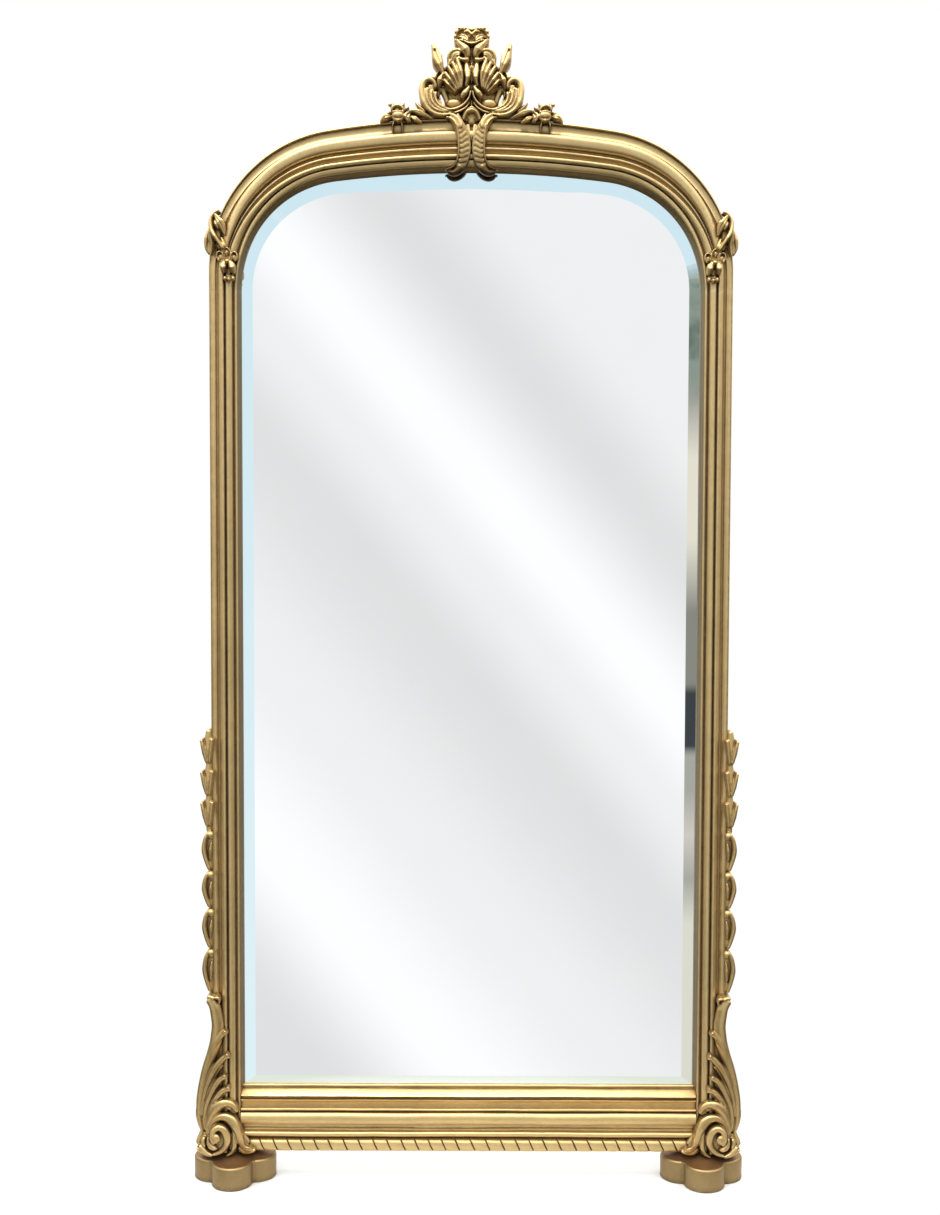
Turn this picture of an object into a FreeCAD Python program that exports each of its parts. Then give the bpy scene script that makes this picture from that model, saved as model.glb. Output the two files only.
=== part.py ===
import FreeCAD, Part
import math
import os

# A standing floor mirror: an arched gilt wood frame on two lobed block feet, with a bevelled
# mirror glass, a carved crest, corner mounts, husk chains and acanthus scrolls.
# Row frame: +Z up, the glass faces -Y, the origin is on the floor midway between the feet.

DIMENSIONS = {
    # frame outline
    "half_width": 473.0,          # centre line to the outer side of a stile
    "sight_half": 419.5,          # centre line to the sight edge beside the glass
    "joint_height": 1637.0,       # stile to arch joint, where the sight edge starts to curve
    "outer_spring": 1670.0,       # where the outer contour starts to curve
    "outer_rise": 273.0,
    "outer_corner": 255.0,        # radius of the outer contour's side arcs
    "sight_rise": 213.0,
    "sight_corner": 199.0,        # radius of the sight contour's side arcs
    "stile_bottom": 52.0,
    # depths, measured forwards (towards -Y) or backwards from the plane through the feet
    "back_depth": 28.0,
    "front_torus": 28.0,
    "front_bead": 26.0,
    "front_fillet": 22.0,
    "front_band": 19.0,
    "front_floor": 15.0,
    # stile moulding, widths from the outer side inwards
    "band_width": 11.0,
    "cove_width": 5.5,
    "torus_width": 11.0,
    "quirk_width": 3.6,
    "bead_width": 11.0,
    "groove_width": 5.4,
    "fillet_width": 3.6,
    # bottom rail, heights above the floor
    "rail_bottom": 80.0,
    "rail_bead_top": 91.0,
    "rail_torus_low": 104.0,
    "rail_torus_top": 126.5,
    "rail_cord_low": 131.0,
    "rail_cord_top": 139.0,
    "rail_fillet_low": 147.5,
    "rail_fillet_top": 150.5,
    "rail_slope_low": 157.0,
    "rail_slope_top": 168.0,
    "rail_top": 173.0,
    "rail_lip": 3.0,              # depth of the rail's small upright lip in front of the glass
    # rope moulding under the rail
    "rope_half_length": 409.0,
    "rope_bottom": 53.0,
    "rope_front": 23.0,
    "rope_back": 8.0,
    # rebate, glass and backing
    "rebate_width": 8.0,
    "glass_inset": 1.0,           # gap between the glass edge and the rebate wall
    "glass_thick": 5.0,
    "glass_front": 1.5,           # how far the flat of the glass stands forward of the rebate
    "bevel_width": 30.0,
    "bevel_depth": 2.0,
    "board_thick": 4.0,
    "board_front": 4.0,
    "strip_width": 12.0,
    "strip_thick": 10.0,
    "strip_gap": 0.1,
    # joinery
    "fit_gap": 0.1,
    "dowel_radius": 5.0,
    "dowel_length": 60.0,
    "dowel_depth": 8.0,
    "dowel_low": 112.0,
    "dowel_high": 148.0,
    "spline_width": 30.0,
    "spline_length": 60.0,
    "spline_thick": 6.0,
    "spline_front": 8.0,
    "crown_spline_low": 1880.0,
    "crest_dowel_radius": 4.0,
    "crest_dowel_length": 40.0,
    "crest_dowel_spread": 30.0,
    # feet
    "foot_centre": 435.0,
    "foot_lobe_radius": 37.5,
    "foot_lobe_offset": 38.5,
    "foot_edge_height": 42.0,
    "foot_crown_radius": 26.0,
    "foot_crown_inset": 8.0,      # how much nearer the crown's lobes stand to the foot's centre
    "bolt_centre": 446.0,
    "bolt_radius": 4.0,
    "bolt_top": 100.0,
    "bolt_head_radius": 7.0,
    "bolt_head_height": 6.0,
    "bolt_head_low": 4.0,
    "bolt_recess_radius": 9.0,
    # crest
    "crest_base": 1943.3,
    "crest_board": 20.0,
    "crest_lap": 6.0,             # how far the raised carving runs into the board
    "dome_front": 38.0,
    "crest_front": 46.0,
    "scroll_front": 42.0,
    "strap_front": 44.0,
    "spray_front": 44.0,
    "spray_leaf": 10.0,           # thickness of the leaves that lie on the arch
    "rose_across": 134.0,
    "rose_height": 1943.0,
    "rose_radius": 15.0,
    # mounts on the stiles
    "leaf_front": 42.0,
    "drop_front": 40.0,
    "husk_low": 351.0,
    "husk_high": 833.0,
    "husk_centre": 477.0,
    "husk_half": 13.0,
    "husk_front": 33.0,
    "husk_back": 4.0,
    "acanthus_front": 44.0,
    "acanthus_back": 10.0,
    "acanthus_high": 350.0,
    "acanthus_reach": 60.0,       # how far the scroll reaches in front of the glass and rail
    "volute_across": 459.3,
    "volute_height": 95.8,
    "volute_radius": 23.0,
    "volute_front": 52.0,
    # wall-tie hangers on the back of the stiles
    "hanger_across": 450.0,
    "hanger_height": 1500.0,
    "plate_width": 16.0,
    "plate_length": 48.0,
    "plate_thick": 2.0,
    "loop_radius": 2.08,
    "ring_wire": 2.0,
    "ring_radius": 14.0,
    "screw_low": 1518.0,
    "screw_high": 1538.0,
    "screw_radius": 2.0,
    "screw_head": 3.9,
    "screw_length": 20.0,
}

LEFT_RIGHT = (("left", -1), ("right", 1))
Y_AXIS = FreeCAD.Rotation(FreeCAD.Vector(1, 0, 0), -90)     # turns local Z to +Y
X_AXIS = FreeCAD.Rotation(FreeCAD.Vector(0, 1, 0), 90)      # turns local Z to +X
UPRIGHT = FreeCAD.Rotation()

doc = FreeCAD.newDocument("floor_mirror")
sheet = doc.addObject("Spreadsheet::Sheet", "Dims")
for row, (alias, value) in enumerate(DIMENSIONS.items(), start=1):
    sheet.set("A%d" % row, alias)
    sheet.set("B%d" % row, str(value))
    sheet.setAlias("B%d" % row, alias)
doc.recompute()

nodes = []


def dim(alias):
    """The sheet's value for one driving dimension."""
    return float(sheet.get(alias))


def bind(item, **expressions):
    """Bind properties to sheet expressions; x, y and z bind the placement."""
    for prop, expression in expressions.items():
        path = "Placement.Base." + prop if prop in ("x", "y", "z") else prop
        item.setExpression(path, expression)
    return item


def new_body(label):
    """A PartDesign body that becomes one node."""
    body = doc.addObject("PartDesign::Body", label)
    body.Label = label
    nodes.append(body)
    return body


def sketch_in(body, role, offset):
    """A sketch on one of the body's origin planes, moved along the plane's normal."""
    sketch = body.newObject("Sketcher::SketchObject", body.Name + "_sketch")
    plane = [item for item in body.Origin.OriginFeatures if item.Role == role][0]
    sketch.AttachmentSupport = [(plane, "")]
    sketch.MapMode = "FlatFace"
    sketch.setExpression("AttachmentOffset.Base.z", offset)
    return sketch


def draw_path(sketch, path):
    """Closed outline: first the start, then (x, y) for a line or (mx, my, x, y) for an arc."""
    at = path[0]
    for step in list(path[1:]) + [path[0]]:
        start = FreeCAD.Vector(at[0], at[1], 0)
        end = FreeCAD.Vector(step[-2], step[-1], 0)
        if (end - start).Length < 1e-6:
            continue
        if len(step) == 4:
            middle = FreeCAD.Vector(step[0], step[1], 0)
            sketch.addGeometry(Part.Arc(start, middle, end), False)
        else:
            sketch.addGeometry(Part.LineSegment(start, end), False)
        at = (step[-2], step[-1])


def draw_curve(sketch, points):
    """Closed smooth outline through the points."""
    curve = Part.BSplineCurve()
    vectors = [FreeCAD.Vector(x, y, 0) for x, y in points]
    curve.interpolate(Points=vectors, PeriodicFlag=True)
    sketch.addGeometry(curve, False)


def draw_circle(sketch, x, y, radius):
    """Full circle."""
    circle = Part.Circle(FreeCAD.Vector(x, y, 0), FreeCAD.Vector(0, 0, 1), radius)
    sketch.addGeometry(circle, False)


def pad(body, sketch, length, reverse=False):
    """Pad a sketch along its plane's normal."""
    feature = body.newObject("PartDesign::Pad", body.Name + "_pad")
    feature.Profile = sketch
    feature.Reversed = reverse
    feature.setExpression("Length", length)
    sketch.Visibility = False
    body.Tip = feature
    return feature


def front_pad(body, draw, shape, back, thick):
    """Pad a front-view outline forwards from depth back (+Y) by thick."""
    sketch = sketch_in(body, "XZ_Plane", "-(%s)" % back)
    draw(sketch, shape)
    return pad(body, sketch, thick)


def add_shape(body, kind, rotation, **expressions):
    """Additive or subtractive primitive in a body."""
    feature = body.newObject("PartDesign::" + kind, body.Name + "_" + kind)
    feature.Placement = FreeCAD.Placement(FreeCAD.Vector(), rotation)
    return bind(feature, **expressions)


def cut_box(body, x, y, z, size_x, size_y, size_z):
    """Take a box out of a body."""
    return add_shape(body, "SubtractiveBox", UPRIGHT, x=x, y=y, z=z,
                     Length=size_x, Width=size_y, Height=size_z)


def cut_hole(body, rotation, x, y, z, radius, depth):
    """Take a round hole out of a body."""
    return add_shape(body, "SubtractiveCylinder", rotation, x=x, y=y, z=z,
                     Radius=radius, Height=depth)


def group_node(label, members):
    """Identical small parts kept as separate solids in one node."""
    group = doc.addObject("Part::Compound", label)
    group.Label = label
    group.Links = members
    nodes.append(group)
    return group


def signed(sign, expression):
    """The expression on the left (-1) or right (+1) side."""
    return "%d * (%s)" % (sign, expression)


def low_edge(sign, inner, outer):
    """Lower X of a span between two distances from the centre line, on either side."""
    return inner if sign > 0 else "-(%s)" % outer


def mirrored(sign, path):
    """The outline on the chosen side."""
    flipped = []
    for step in path:
        flipped.append(tuple(value * sign if place % 2 == 0 else value for place, value in enumerate(step)))
    return flipped


# ---------------------------------------------------------------- contours of the arch

def arch_shape(blend, grow=0.0):
    """Three-centred arch between the outer contour (0) and the sight contour (1)."""
    def between(outer, sight):
        return outer + (sight - outer) * blend
    half = between(dim("half_width"), dim("sight_half")) + grow
    spring = between(dim("outer_spring"), dim("joint_height"))
    rise = between(dim("outer_rise"), dim("sight_rise")) + grow
    corner = between(dim("outer_corner"), dim("sight_corner")) + grow
    drop = ((half - corner) ** 2 - (rise - corner) ** 2) / (2 * (rise - corner))
    crown = drop + rise
    reach = math.hypot(half - corner, drop)
    meet = ((half - corner) / reach * crown, spring - drop + drop / reach * crown)
    turn = 0.5 * math.atan2(drop, half - corner)
    mid_side = (half - corner + corner * math.cos(turn), spring + corner * math.sin(turn))
    lean = 0.5 * math.atan2(half - corner, drop)
    mid_crown = (crown * math.sin(lean), spring - drop + crown * math.cos(lean))
    return {"half": half, "spring": spring, "top": spring + rise, "meet": meet,
            "mid_side": mid_side, "mid_crown": mid_crown}


def half_arch_path(outer, inner):
    """Closed outline of the right-hand half between two arch contours, above the joint."""
    joint = dim("joint_height")
    return [
        (inner["half"], joint),
        (outer["half"], joint),
        (outer["half"], outer["spring"]),
        outer["mid_side"] + outer["meet"],
        outer["mid_crown"] + (0.0, outer["top"]),
        (0.0, inner["top"]),
        inner["mid_crown"] + inner["meet"],
        inner["mid_side"] + (inner["half"], inner["spring"]),
    ]


def closed_arch_path(contour, bottom):
    """Closed outline of a whole arched panel."""
    half = contour["half"]
    meet_x, meet_z = contour["meet"]
    side_x, side_z = contour["mid_side"]
    return [
        (-half, bottom),
        (half, bottom),
        (half, contour["spring"]),
        (side_x, side_z, meet_x, meet_z),
        (0.0, contour["top"], -meet_x, meet_z),
        (-side_x, side_z, -half, contour["spring"]),
    ]


# ---------------------------------------------------------------- frame members

def stile_path():
    """Plan section of the right-hand stile, from the outer back corner round the front."""
    outer = dim("half_width")
    inner = dim("sight_half")
    back = dim("back_depth")
    floor = -dim("front_floor")
    band = -dim("front_band")
    torus_r = dim("torus_width") / 2
    bead_r = dim("bead_width") / 2
    torus_spring = -dim("front_torus") + torus_r
    bead_spring = -dim("front_bead") + bead_r
    cove_x = outer - dim("band_width")
    torus_x = cove_x - dim("cove_width")
    quirk_x = torus_x - dim("torus_width")
    bead_x = quirk_x - dim("quirk_width")
    groove_x = bead_x - dim("bead_width")
    fillet_x = groove_x - dim("groove_width")
    reveal_x = fillet_x - dim("fillet_width")
    fillet = -dim("front_fillet")
    return [
        (outer, back),
        (outer, band),
        (cove_x, band),
        (torus_x, floor),
        (torus_x, torus_spring),
        (torus_x - torus_r, -dim("front_torus"), quirk_x, torus_spring),
        (quirk_x, floor),
        (bead_x, floor),
        (bead_x, bead_spring),
        (bead_x - bead_r, -dim("front_bead"), groove_x, bead_spring),
        (groove_x, floor),
        (fillet_x, floor),
        (fillet_x, fillet),
        (reveal_x, fillet),
        (inner, 0.0),
        (inner, back),
    ]


def make_stile(side, sign):
    """Upright with its moulding, rebate, slots and holes."""
    body = new_body("stile_" + side)
    sketch = sketch_in(body, "XY_Plane", "Dims.stile_bottom")
    draw_path(sketch, mirrored(sign, stile_path()))
    pad(body, sketch, "Dims.joint_height - Dims.stile_bottom")
    cut_box(body, low_edge(sign, "Dims.sight_half - 1", "Dims.sight_half + Dims.rebate_width"),
            "0", "Dims.rail_top - Dims.rebate_width",
            "Dims.rebate_width + 1", "Dims.back_depth + 1", "Dims.joint_height")
    cut_box(body, signed(sign, "Dims.bolt_centre") + " - Dims.spline_width / 2 - Dims.fit_gap",
            "Dims.spline_front - Dims.fit_gap",
            "Dims.joint_height - Dims.spline_length / 2 - Dims.fit_gap",
            "Dims.spline_width + 2 * Dims.fit_gap", "Dims.spline_thick + 2 * Dims.fit_gap",
            "Dims.spline_length")
    for height in ("Dims.dowel_low", "Dims.dowel_high"):
        cut_hole(body, X_AXIS, low_edge(sign, "Dims.sight_half - 1",
                                        "Dims.sight_half + Dims.dowel_length / 2 + Dims.fit_gap"),
                 "Dims.dowel_depth", height, "Dims.dowel_radius + Dims.fit_gap",
                 "Dims.dowel_length / 2 + 1 + Dims.fit_gap")
    cut_hole(body, UPRIGHT, signed(sign, "Dims.bolt_centre"), "0", "Dims.stile_bottom - 1",
             "Dims.bolt_radius + Dims.fit_gap", "Dims.bolt_top - Dims.stile_bottom + 2")
    for height in ("Dims.screw_low", "Dims.screw_high"):
        cut_hole(body, Y_AXIS, signed(sign, "Dims.hanger_across"),
                 "Dims.back_depth - Dims.screw_length", height,
                 "Dims.screw_radius + Dims.fit_gap", "Dims.screw_length + 1")


def make_arch(side, sign):
    """Half of the arched head: a slab with raised bands, the rebate, slots and dowel hole."""
    body = new_body("arch_" + side)
    outer = arch_shape(0)
    sight = arch_shape(1)
    front_pad(body, draw_path, mirrored(sign, half_arch_path(outer, sight)),
              "Dims.back_depth", "Dims.back_depth + Dims.front_floor")
    width = dim("half_width") - dim("sight_half")
    torus_from = (dim("band_width") + dim("cove_width")) / width
    torus_to = torus_from + dim("torus_width") / width
    bead_from = torus_to + dim("quirk_width") / width
    bead_to = bead_from + dim("bead_width") / width
    fillet_from = bead_to + dim("groove_width") / width
    fillet_to = fillet_from + dim("fillet_width") / width
    bands = (
        (0, dim("band_width") / width, "Dims.front_band"),
        (torus_from, torus_to, "Dims.front_torus"),
        (bead_from, bead_to, "Dims.front_bead"),
        (fillet_from, fillet_to, "Dims.front_fillet"),
    )
    for band_from, band_to, front in bands:
        path = half_arch_path(arch_shape(band_from), arch_shape(band_to))
        front_pad(body, draw_path, mirrored(sign, path), "-Dims.front_floor",
                  front + " - Dims.front_floor")
    rebate = body.newObject("PartDesign::Pocket", body.Name + "_rebate")
    sketch = sketch_in(body, "XZ_Plane", "-Dims.back_depth")
    step = half_arch_path(arch_shape(1, dim("rebate_width")), arch_shape(1, -1.0))
    draw_path(sketch, mirrored(sign, step))
    rebate.Profile = sketch
    rebate.Reversed = True
    rebate.setExpression("Length", "Dims.back_depth")
    body.Tip = rebate
    cut_box(body, signed(sign, "Dims.bolt_centre") + " - Dims.spline_width / 2 - Dims.fit_gap",
            "Dims.spline_front - Dims.fit_gap", "Dims.joint_height - 1",
            "Dims.spline_width + 2 * Dims.fit_gap", "Dims.spline_thick + 2 * Dims.fit_gap",
            "Dims.spline_length / 2 + 1 + Dims.fit_gap")
    cut_box(body, low_edge(sign, "-1", "Dims.spline_length / 2 + Dims.fit_gap"),
            "Dims.spline_front - Dims.fit_gap", "Dims.crown_spline_low - Dims.fit_gap",
            "Dims.spline_length / 2 + 1 + Dims.fit_gap", "Dims.spline_thick + 2 * Dims.fit_gap",
            "Dims.spline_width + 2 * Dims.fit_gap")
    cut_hole(body, UPRIGHT, signed(sign, "Dims.crest_dowel_spread"), "-Dims.spline_front",
             "Dims.crest_base - Dims.crest_dowel_length / 2 - Dims.fit_gap",
             "Dims.crest_dowel_radius + Dims.fit_gap", "Dims.crest_dowel_length")


def rail_path():
    """Side section (y, z) of the bottom rail."""
    back = dim("back_depth")
    floor = -dim("front_floor")
    torus_low = dim("rail_torus_low")
    torus_top = dim("rail_torus_top")
    cord_low = dim("rail_cord_low")
    cord_top = dim("rail_cord_top")
    rebate_floor = dim("rail_top") - dim("rebate_width")
    return [
        (back, dim("rail_bottom")),
        (-dim("front_fillet"), dim("rail_bottom")),
        (-dim("front_bead"), (dim("rail_bottom") + dim("rail_bead_top")) / 2,
         -dim("front_fillet"), dim("rail_bead_top")),
        (floor, dim("rail_bead_top")),
        (floor, torus_low),
        (-dim("front_torus"), (torus_low + torus_top) / 2, floor, torus_top),
        (floor, cord_low),
        (-dim("front_fillet"), (cord_low + cord_top) / 2, floor, cord_top),
        (floor, dim("rail_fillet_low")),
        (-dim("front_band"), dim("rail_fillet_low")),
        (-dim("front_band"), dim("rail_fillet_top")),
        (floor, dim("rail_fillet_top")),
        (-dim("front_bead"), dim("rail_slope_low")),
        (-dim("rail_lip"), dim("rail_slope_top")),
        (-dim("rail_lip"), dim("rail_top")),
        (0.0, dim("rail_top")),
        (0.0, rebate_floor),
        (back, rebate_floor),
    ]


def make_rail():
    """Bottom rail between the stiles, with its dowel holes."""
    body = new_body("bottom_rail")
    sketch = sketch_in(body, "YZ_Plane", "-Dims.sight_half")
    draw_path(sketch, rail_path())
    pad(body, sketch, "2 * Dims.sight_half")
    for side, sign in LEFT_RIGHT:
        for height in ("Dims.dowel_low", "Dims.dowel_high"):
            cut_hole(body, X_AXIS, low_edge(sign, "Dims.sight_half - Dims.dowel_length / 2 - Dims.fit_gap",
                                            "Dims.sight_half + 1"),
                     "Dims.dowel_depth", height, "Dims.dowel_radius + Dims.fit_gap",
                     "Dims.dowel_length / 2 + 1 + Dims.fit_gap")


def make_rope():
    """Rope moulding under the rail, as its round-fronted blank."""
    body = new_body("rope_moulding")
    sketch = sketch_in(body, "YZ_Plane", "-Dims.rope_half_length")
    low = dim("rope_bottom")
    top = dim("rail_bottom")
    shoulder = (top - low) / 2 - dim("rope_front")
    draw_path(sketch, [
        (dim("rope_back"), low),
        (shoulder, low),
        (-dim("rope_front"), (low + top) / 2, shoulder, top),
        (dim("rope_back"), top),
    ])
    pad(body, sketch, "2 * Dims.rope_half_length")


# ---------------------------------------------------------------- glass and backing

def make_glass():
    """Mirror glass: a flat sheet whose front edge is ground to a wide bevel."""
    body = new_body("mirror_glass")
    grow = dim("rebate_width") - dim("glass_inset")
    bottom = dim("rail_top") - grow
    edge = closed_arch_path(arch_shape(1, grow), bottom)
    flat = closed_arch_path(arch_shape(1, grow - dim("bevel_width")), bottom + dim("bevel_width"))
    bevel_back = "Dims.bevel_depth - Dims.glass_front"
    sketch = sketch_in(body, "XZ_Plane", "-(%s)" % bevel_back)
    draw_path(sketch, edge)
    pad(body, sketch, "Dims.glass_thick - Dims.bevel_depth", reverse=True)
    face = sketch_in(body, "XZ_Plane", "Dims.glass_front")
    draw_path(face, flat)
    bevel = body.newObject("PartDesign::AdditiveLoft", "glass_bevel")
    bevel.Profile = sketch
    bevel.Sections = [face]
    bevel.Ruled = True
    body.Tip = bevel


def make_backing():
    """Plywood board behind the glass."""
    body = new_body("back_panel")
    grow = dim("rebate_width") - dim("glass_inset")
    path = closed_arch_path(arch_shape(1, grow), dim("rail_top") - grow)
    front_pad(body, draw_path, path, "Dims.board_front + Dims.board_thick", "Dims.board_thick")


def make_strips():
    """Glazing strips that hold the board and the glass in the rebate."""
    behind = "Dims.board_front + Dims.board_thick"
    floor = "Dims.rail_top - Dims.rebate_width"
    wall = "Dims.sight_half + Dims.rebate_width - Dims.strip_gap"
    for side, sign in LEFT_RIGHT:
        strip = doc.addObject("Part::Box", "glazing_strip_" + side)
        strip.Label = "glazing_strip_" + side
        bind(strip, x=low_edge(sign, wall + " - Dims.strip_width", wall), y=behind,
             z=floor + " + Dims.strip_width + 2 * Dims.strip_gap", Length="Dims.strip_width",
             Width="Dims.strip_thick",
             Height="Dims.joint_height - (%s) - Dims.strip_width - 3 * Dims.strip_gap" % floor)
        nodes.append(strip)
    strip = doc.addObject("Part::Box", "glazing_strip_bottom")
    strip.Label = "glazing_strip_bottom"
    bind(strip, x="-(%s)" % wall, y=behind, z=floor + " + Dims.strip_gap",
         Length="2 * (%s)" % wall, Width="Dims.strip_thick", Height="Dims.strip_width")
    nodes.append(strip)
    body = new_body("glazing_strip_top")
    outer = arch_shape(1, dim("rebate_width") - dim("strip_gap"))
    inner = arch_shape(1, dim("rebate_width") - dim("strip_gap") - dim("strip_width"))
    joint = dim("joint_height")
    path = [
        (outer["half"], joint),
        outer["mid_side"] + outer["meet"],
        (0.0, outer["top"], -outer["meet"][0], outer["meet"][1]),
        (-outer["mid_side"][0], outer["mid_side"][1], -outer["half"], joint),
        (-inner["half"], joint),
        (-inner["mid_side"][0], inner["mid_side"][1], -inner["meet"][0], inner["meet"][1]),
        (0.0, inner["top"]) + inner["meet"],
        inner["mid_side"] + (inner["half"], joint),
    ]
    front_pad(body, draw_path, path, behind + " + Dims.strip_thick", "Dims.strip_thick")


# ---------------------------------------------------------------- joinery

def bar(kind, name, rotation, **expressions):
    """Loose primitive that goes into a group node."""
    item = doc.addObject("Part::" + kind, name)
    item.Placement = FreeCAD.Placement(FreeCAD.Vector(), rotation)
    return bind(item, **expressions)


def make_joinery():
    """Rail dowels, stile and crown splines, crest dowels and foot bolts."""
    dowels = []
    splines = []
    crest_pins = []
    bolts = []
    for side, sign in LEFT_RIGHT:
        for height in ("Dims.dowel_low", "Dims.dowel_high"):
            dowels.append(bar("Cylinder", "rail_dowel", X_AXIS,
                              x=signed(sign, "Dims.sight_half") + " - Dims.dowel_length / 2",
                              y="Dims.dowel_depth", z=height,
                              Radius="Dims.dowel_radius", Height="Dims.dowel_length"))
        splines.append(bar("Box", "stile_spline", UPRIGHT,
                           x=signed(sign, "Dims.bolt_centre") + " - Dims.spline_width / 2",
                           y="Dims.spline_front", z="Dims.joint_height - Dims.spline_length / 2",
                           Length="Dims.spline_width", Width="Dims.spline_thick",
                           Height="Dims.spline_length"))
        crest_pins.append(bar("Cylinder", "crest_dowel", UPRIGHT,
                              x=signed(sign, "Dims.crest_dowel_spread"), y="-Dims.spline_front",
                              z="Dims.crest_base - Dims.crest_dowel_length / 2",
                              Radius="Dims.crest_dowel_radius", Height="Dims.crest_dowel_length"))
        shank = bar("Cylinder", "foot_bolt_shank", UPRIGHT, x=signed(sign, "Dims.bolt_centre"), y="0",
                    z="Dims.bolt_head_low", Radius="Dims.bolt_radius",
                    Height="Dims.bolt_top - Dims.bolt_head_low")
        head = bar("Prism", "foot_bolt_head", UPRIGHT, x=signed(sign, "Dims.bolt_centre"), y="0",
                   z="Dims.bolt_head_low", Circumradius="Dims.bolt_head_radius",
                   Height="Dims.bolt_head_height")
        bolt = doc.addObject("Part::Fuse", "foot_bolt")
        bolt.Base = shank
        bolt.Tool = head
        bolts.append(bolt)
    group_node("rail_dowels", dowels)
    group_node("stile_splines", splines)
    group_node("crest_dowels", crest_pins)
    group_node("foot_bolts", bolts)
    crown = bar("Box", "crown_spline", UPRIGHT, x="-Dims.spline_length / 2", y="Dims.spline_front",
                z="Dims.crown_spline_low", Length="Dims.spline_length", Width="Dims.spline_thick",
                Height="Dims.spline_width")
    crown.Label = "crown_spline"
    nodes.append(crown)


# ---------------------------------------------------------------- feet

def quatrefoil(body, centre, radius, offset, low, height):
    """Four round lobes and the square between them."""
    for step_x, step_y in ((1, 0), (-1, 0), (0, 1), (0, -1)):
        add_shape(body, "AdditiveCylinder", UPRIGHT, x="%s + %d * (%s)" % (centre, step_x, offset),
                  y="%d * (%s)" % (step_y, offset), z=low, Radius=radius, Height=height)
    add_shape(body, "AdditiveBox", UPRIGHT, x="%s - (%s)" % (centre, offset), y="-(%s)" % offset, z=low,
              Length="2 * (%s)" % offset, Width="2 * (%s)" % offset, Height=height)


def make_foot(side, sign):
    """Lobed block foot with a raised crown and the recess for its bolt."""
    body = new_body("foot_" + side)
    centre = signed(sign, "Dims.foot_centre")
    quatrefoil(body, centre, "Dims.foot_lobe_radius", "Dims.foot_lobe_offset", "0", "Dims.foot_edge_height")
    quatrefoil(body, centre, "Dims.foot_crown_radius",
               "Dims.foot_lobe_offset - Dims.foot_crown_inset", "Dims.foot_edge_height",
               "Dims.stile_bottom - Dims.foot_edge_height")
    cut_hole(body, UPRIGHT, signed(sign, "Dims.bolt_centre"), "0", "-1",
             "Dims.bolt_radius + Dims.fit_gap", "Dims.stile_bottom + 2")
    cut_hole(body, UPRIGHT, signed(sign, "Dims.bolt_centre"), "0", "-1", "Dims.bolt_recess_radius",
             "Dims.bolt_head_low + Dims.bolt_head_height + 1")


# ---------------------------------------------------------------- crest

def both_sides(half_points):
    """A closed outline, symmetric about the centre line, from its right-hand half."""
    left = [(-x, z) for x, z in reversed(half_points) if x > 0]
    return list(half_points) + left


def make_crest_centre():
    """Backing board, shell fans with their pods, and the flower head at the top."""
    body = new_body("crest_centre")
    base = dim("crest_base")
    board = both_sides([(0.0, base), (58.0, base), (66.0, base + 30), (58.0, base + 68),
                        (42.0, base + 96), (26.0, base + 112), (0.0, base + 118)])
    front_pad(body, draw_path, board, "0", "Dims.crest_board")
    fans = both_sides([(0.0, base + 36), (20.0, base + 24), (40.0, base + 16), (50.0, base + 30),
                       (53.0, base + 62), (72.0, base + 118), (66.0, base + 122), (50.0, base + 92),
                       (40.0, base + 98), (30.0, base + 112), (32.0, base + 150), (24.0, 2100.0),
                       (0.0, 2095.0)])
    front_pad(body, draw_path, fans, "Dims.crest_lap - Dims.crest_board",
              "Dims.crest_front - Dims.crest_board + Dims.crest_lap")
    dome = both_sides([(0.0, base), (13.0, base), (9.0, base + 9), (0.0, base + 16)])
    front_pad(body, draw_path, dome, "Dims.crest_lap - Dims.crest_board",
              "Dims.dome_front - Dims.crest_board + Dims.crest_lap")
    for side, sign in LEFT_RIGHT:
        cut_hole(body, UPRIGHT, signed(sign, "Dims.crest_dowel_spread"), "-Dims.spline_front",
                 "Dims.crest_base - 1", "Dims.crest_dowel_radius + Dims.fit_gap",
                 "Dims.crest_dowel_length / 2 + 1 + Dims.fit_gap")


def make_crest_scroll(side, sign):
    """C-scroll that curls out and up from the cusp at the centre line."""
    body = new_body("crest_scroll_" + side)
    base = dim("crest_base")
    outline = [(0.4, base + 34), (0.4, base + 20), (14.0, base + 8), (30.0, base + 1), (58.0, base + 1),
               (80.0, base + 14), (91.0, base + 36), (90.0, base + 58), (78.0, base + 67),
               (68.0, base + 58), (63.0, base + 40), (54.0, base + 20), (40.0, base + 12),
               (20.0, base + 18), (8.0, base + 29)]
    front_pad(body, draw_path, mirrored(sign, outline), "-(Dims.crest_board + 0.1)",
              "Dims.scroll_front - Dims.crest_board - 0.1")


def make_crest_strap(side, sign):
    """Beaded strap that crosses the arch moulding and ends in a paw below its sight edge."""
    body = new_body("crest_strap_" + side)
    outline = [(8.0, 1941.0), (40.0, 1941.0), (31.0, 1926.0), (26.0, 1900.0), (28.0, 1876.0),
               (36.0, 1860.0), (47.0, 1849.0), (45.0, 1832.0), (28.0, 1823.0), (12.0, 1830.0),
               (7.0, 1850.0), (5.0, 1875.0), (3.0, 1898.0), (5.0, 1922.0)]
    front_pad(body, draw_path, mirrored(sign, outline), "-Dims.front_torus",
              "Dims.strap_front - Dims.front_torus")


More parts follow.
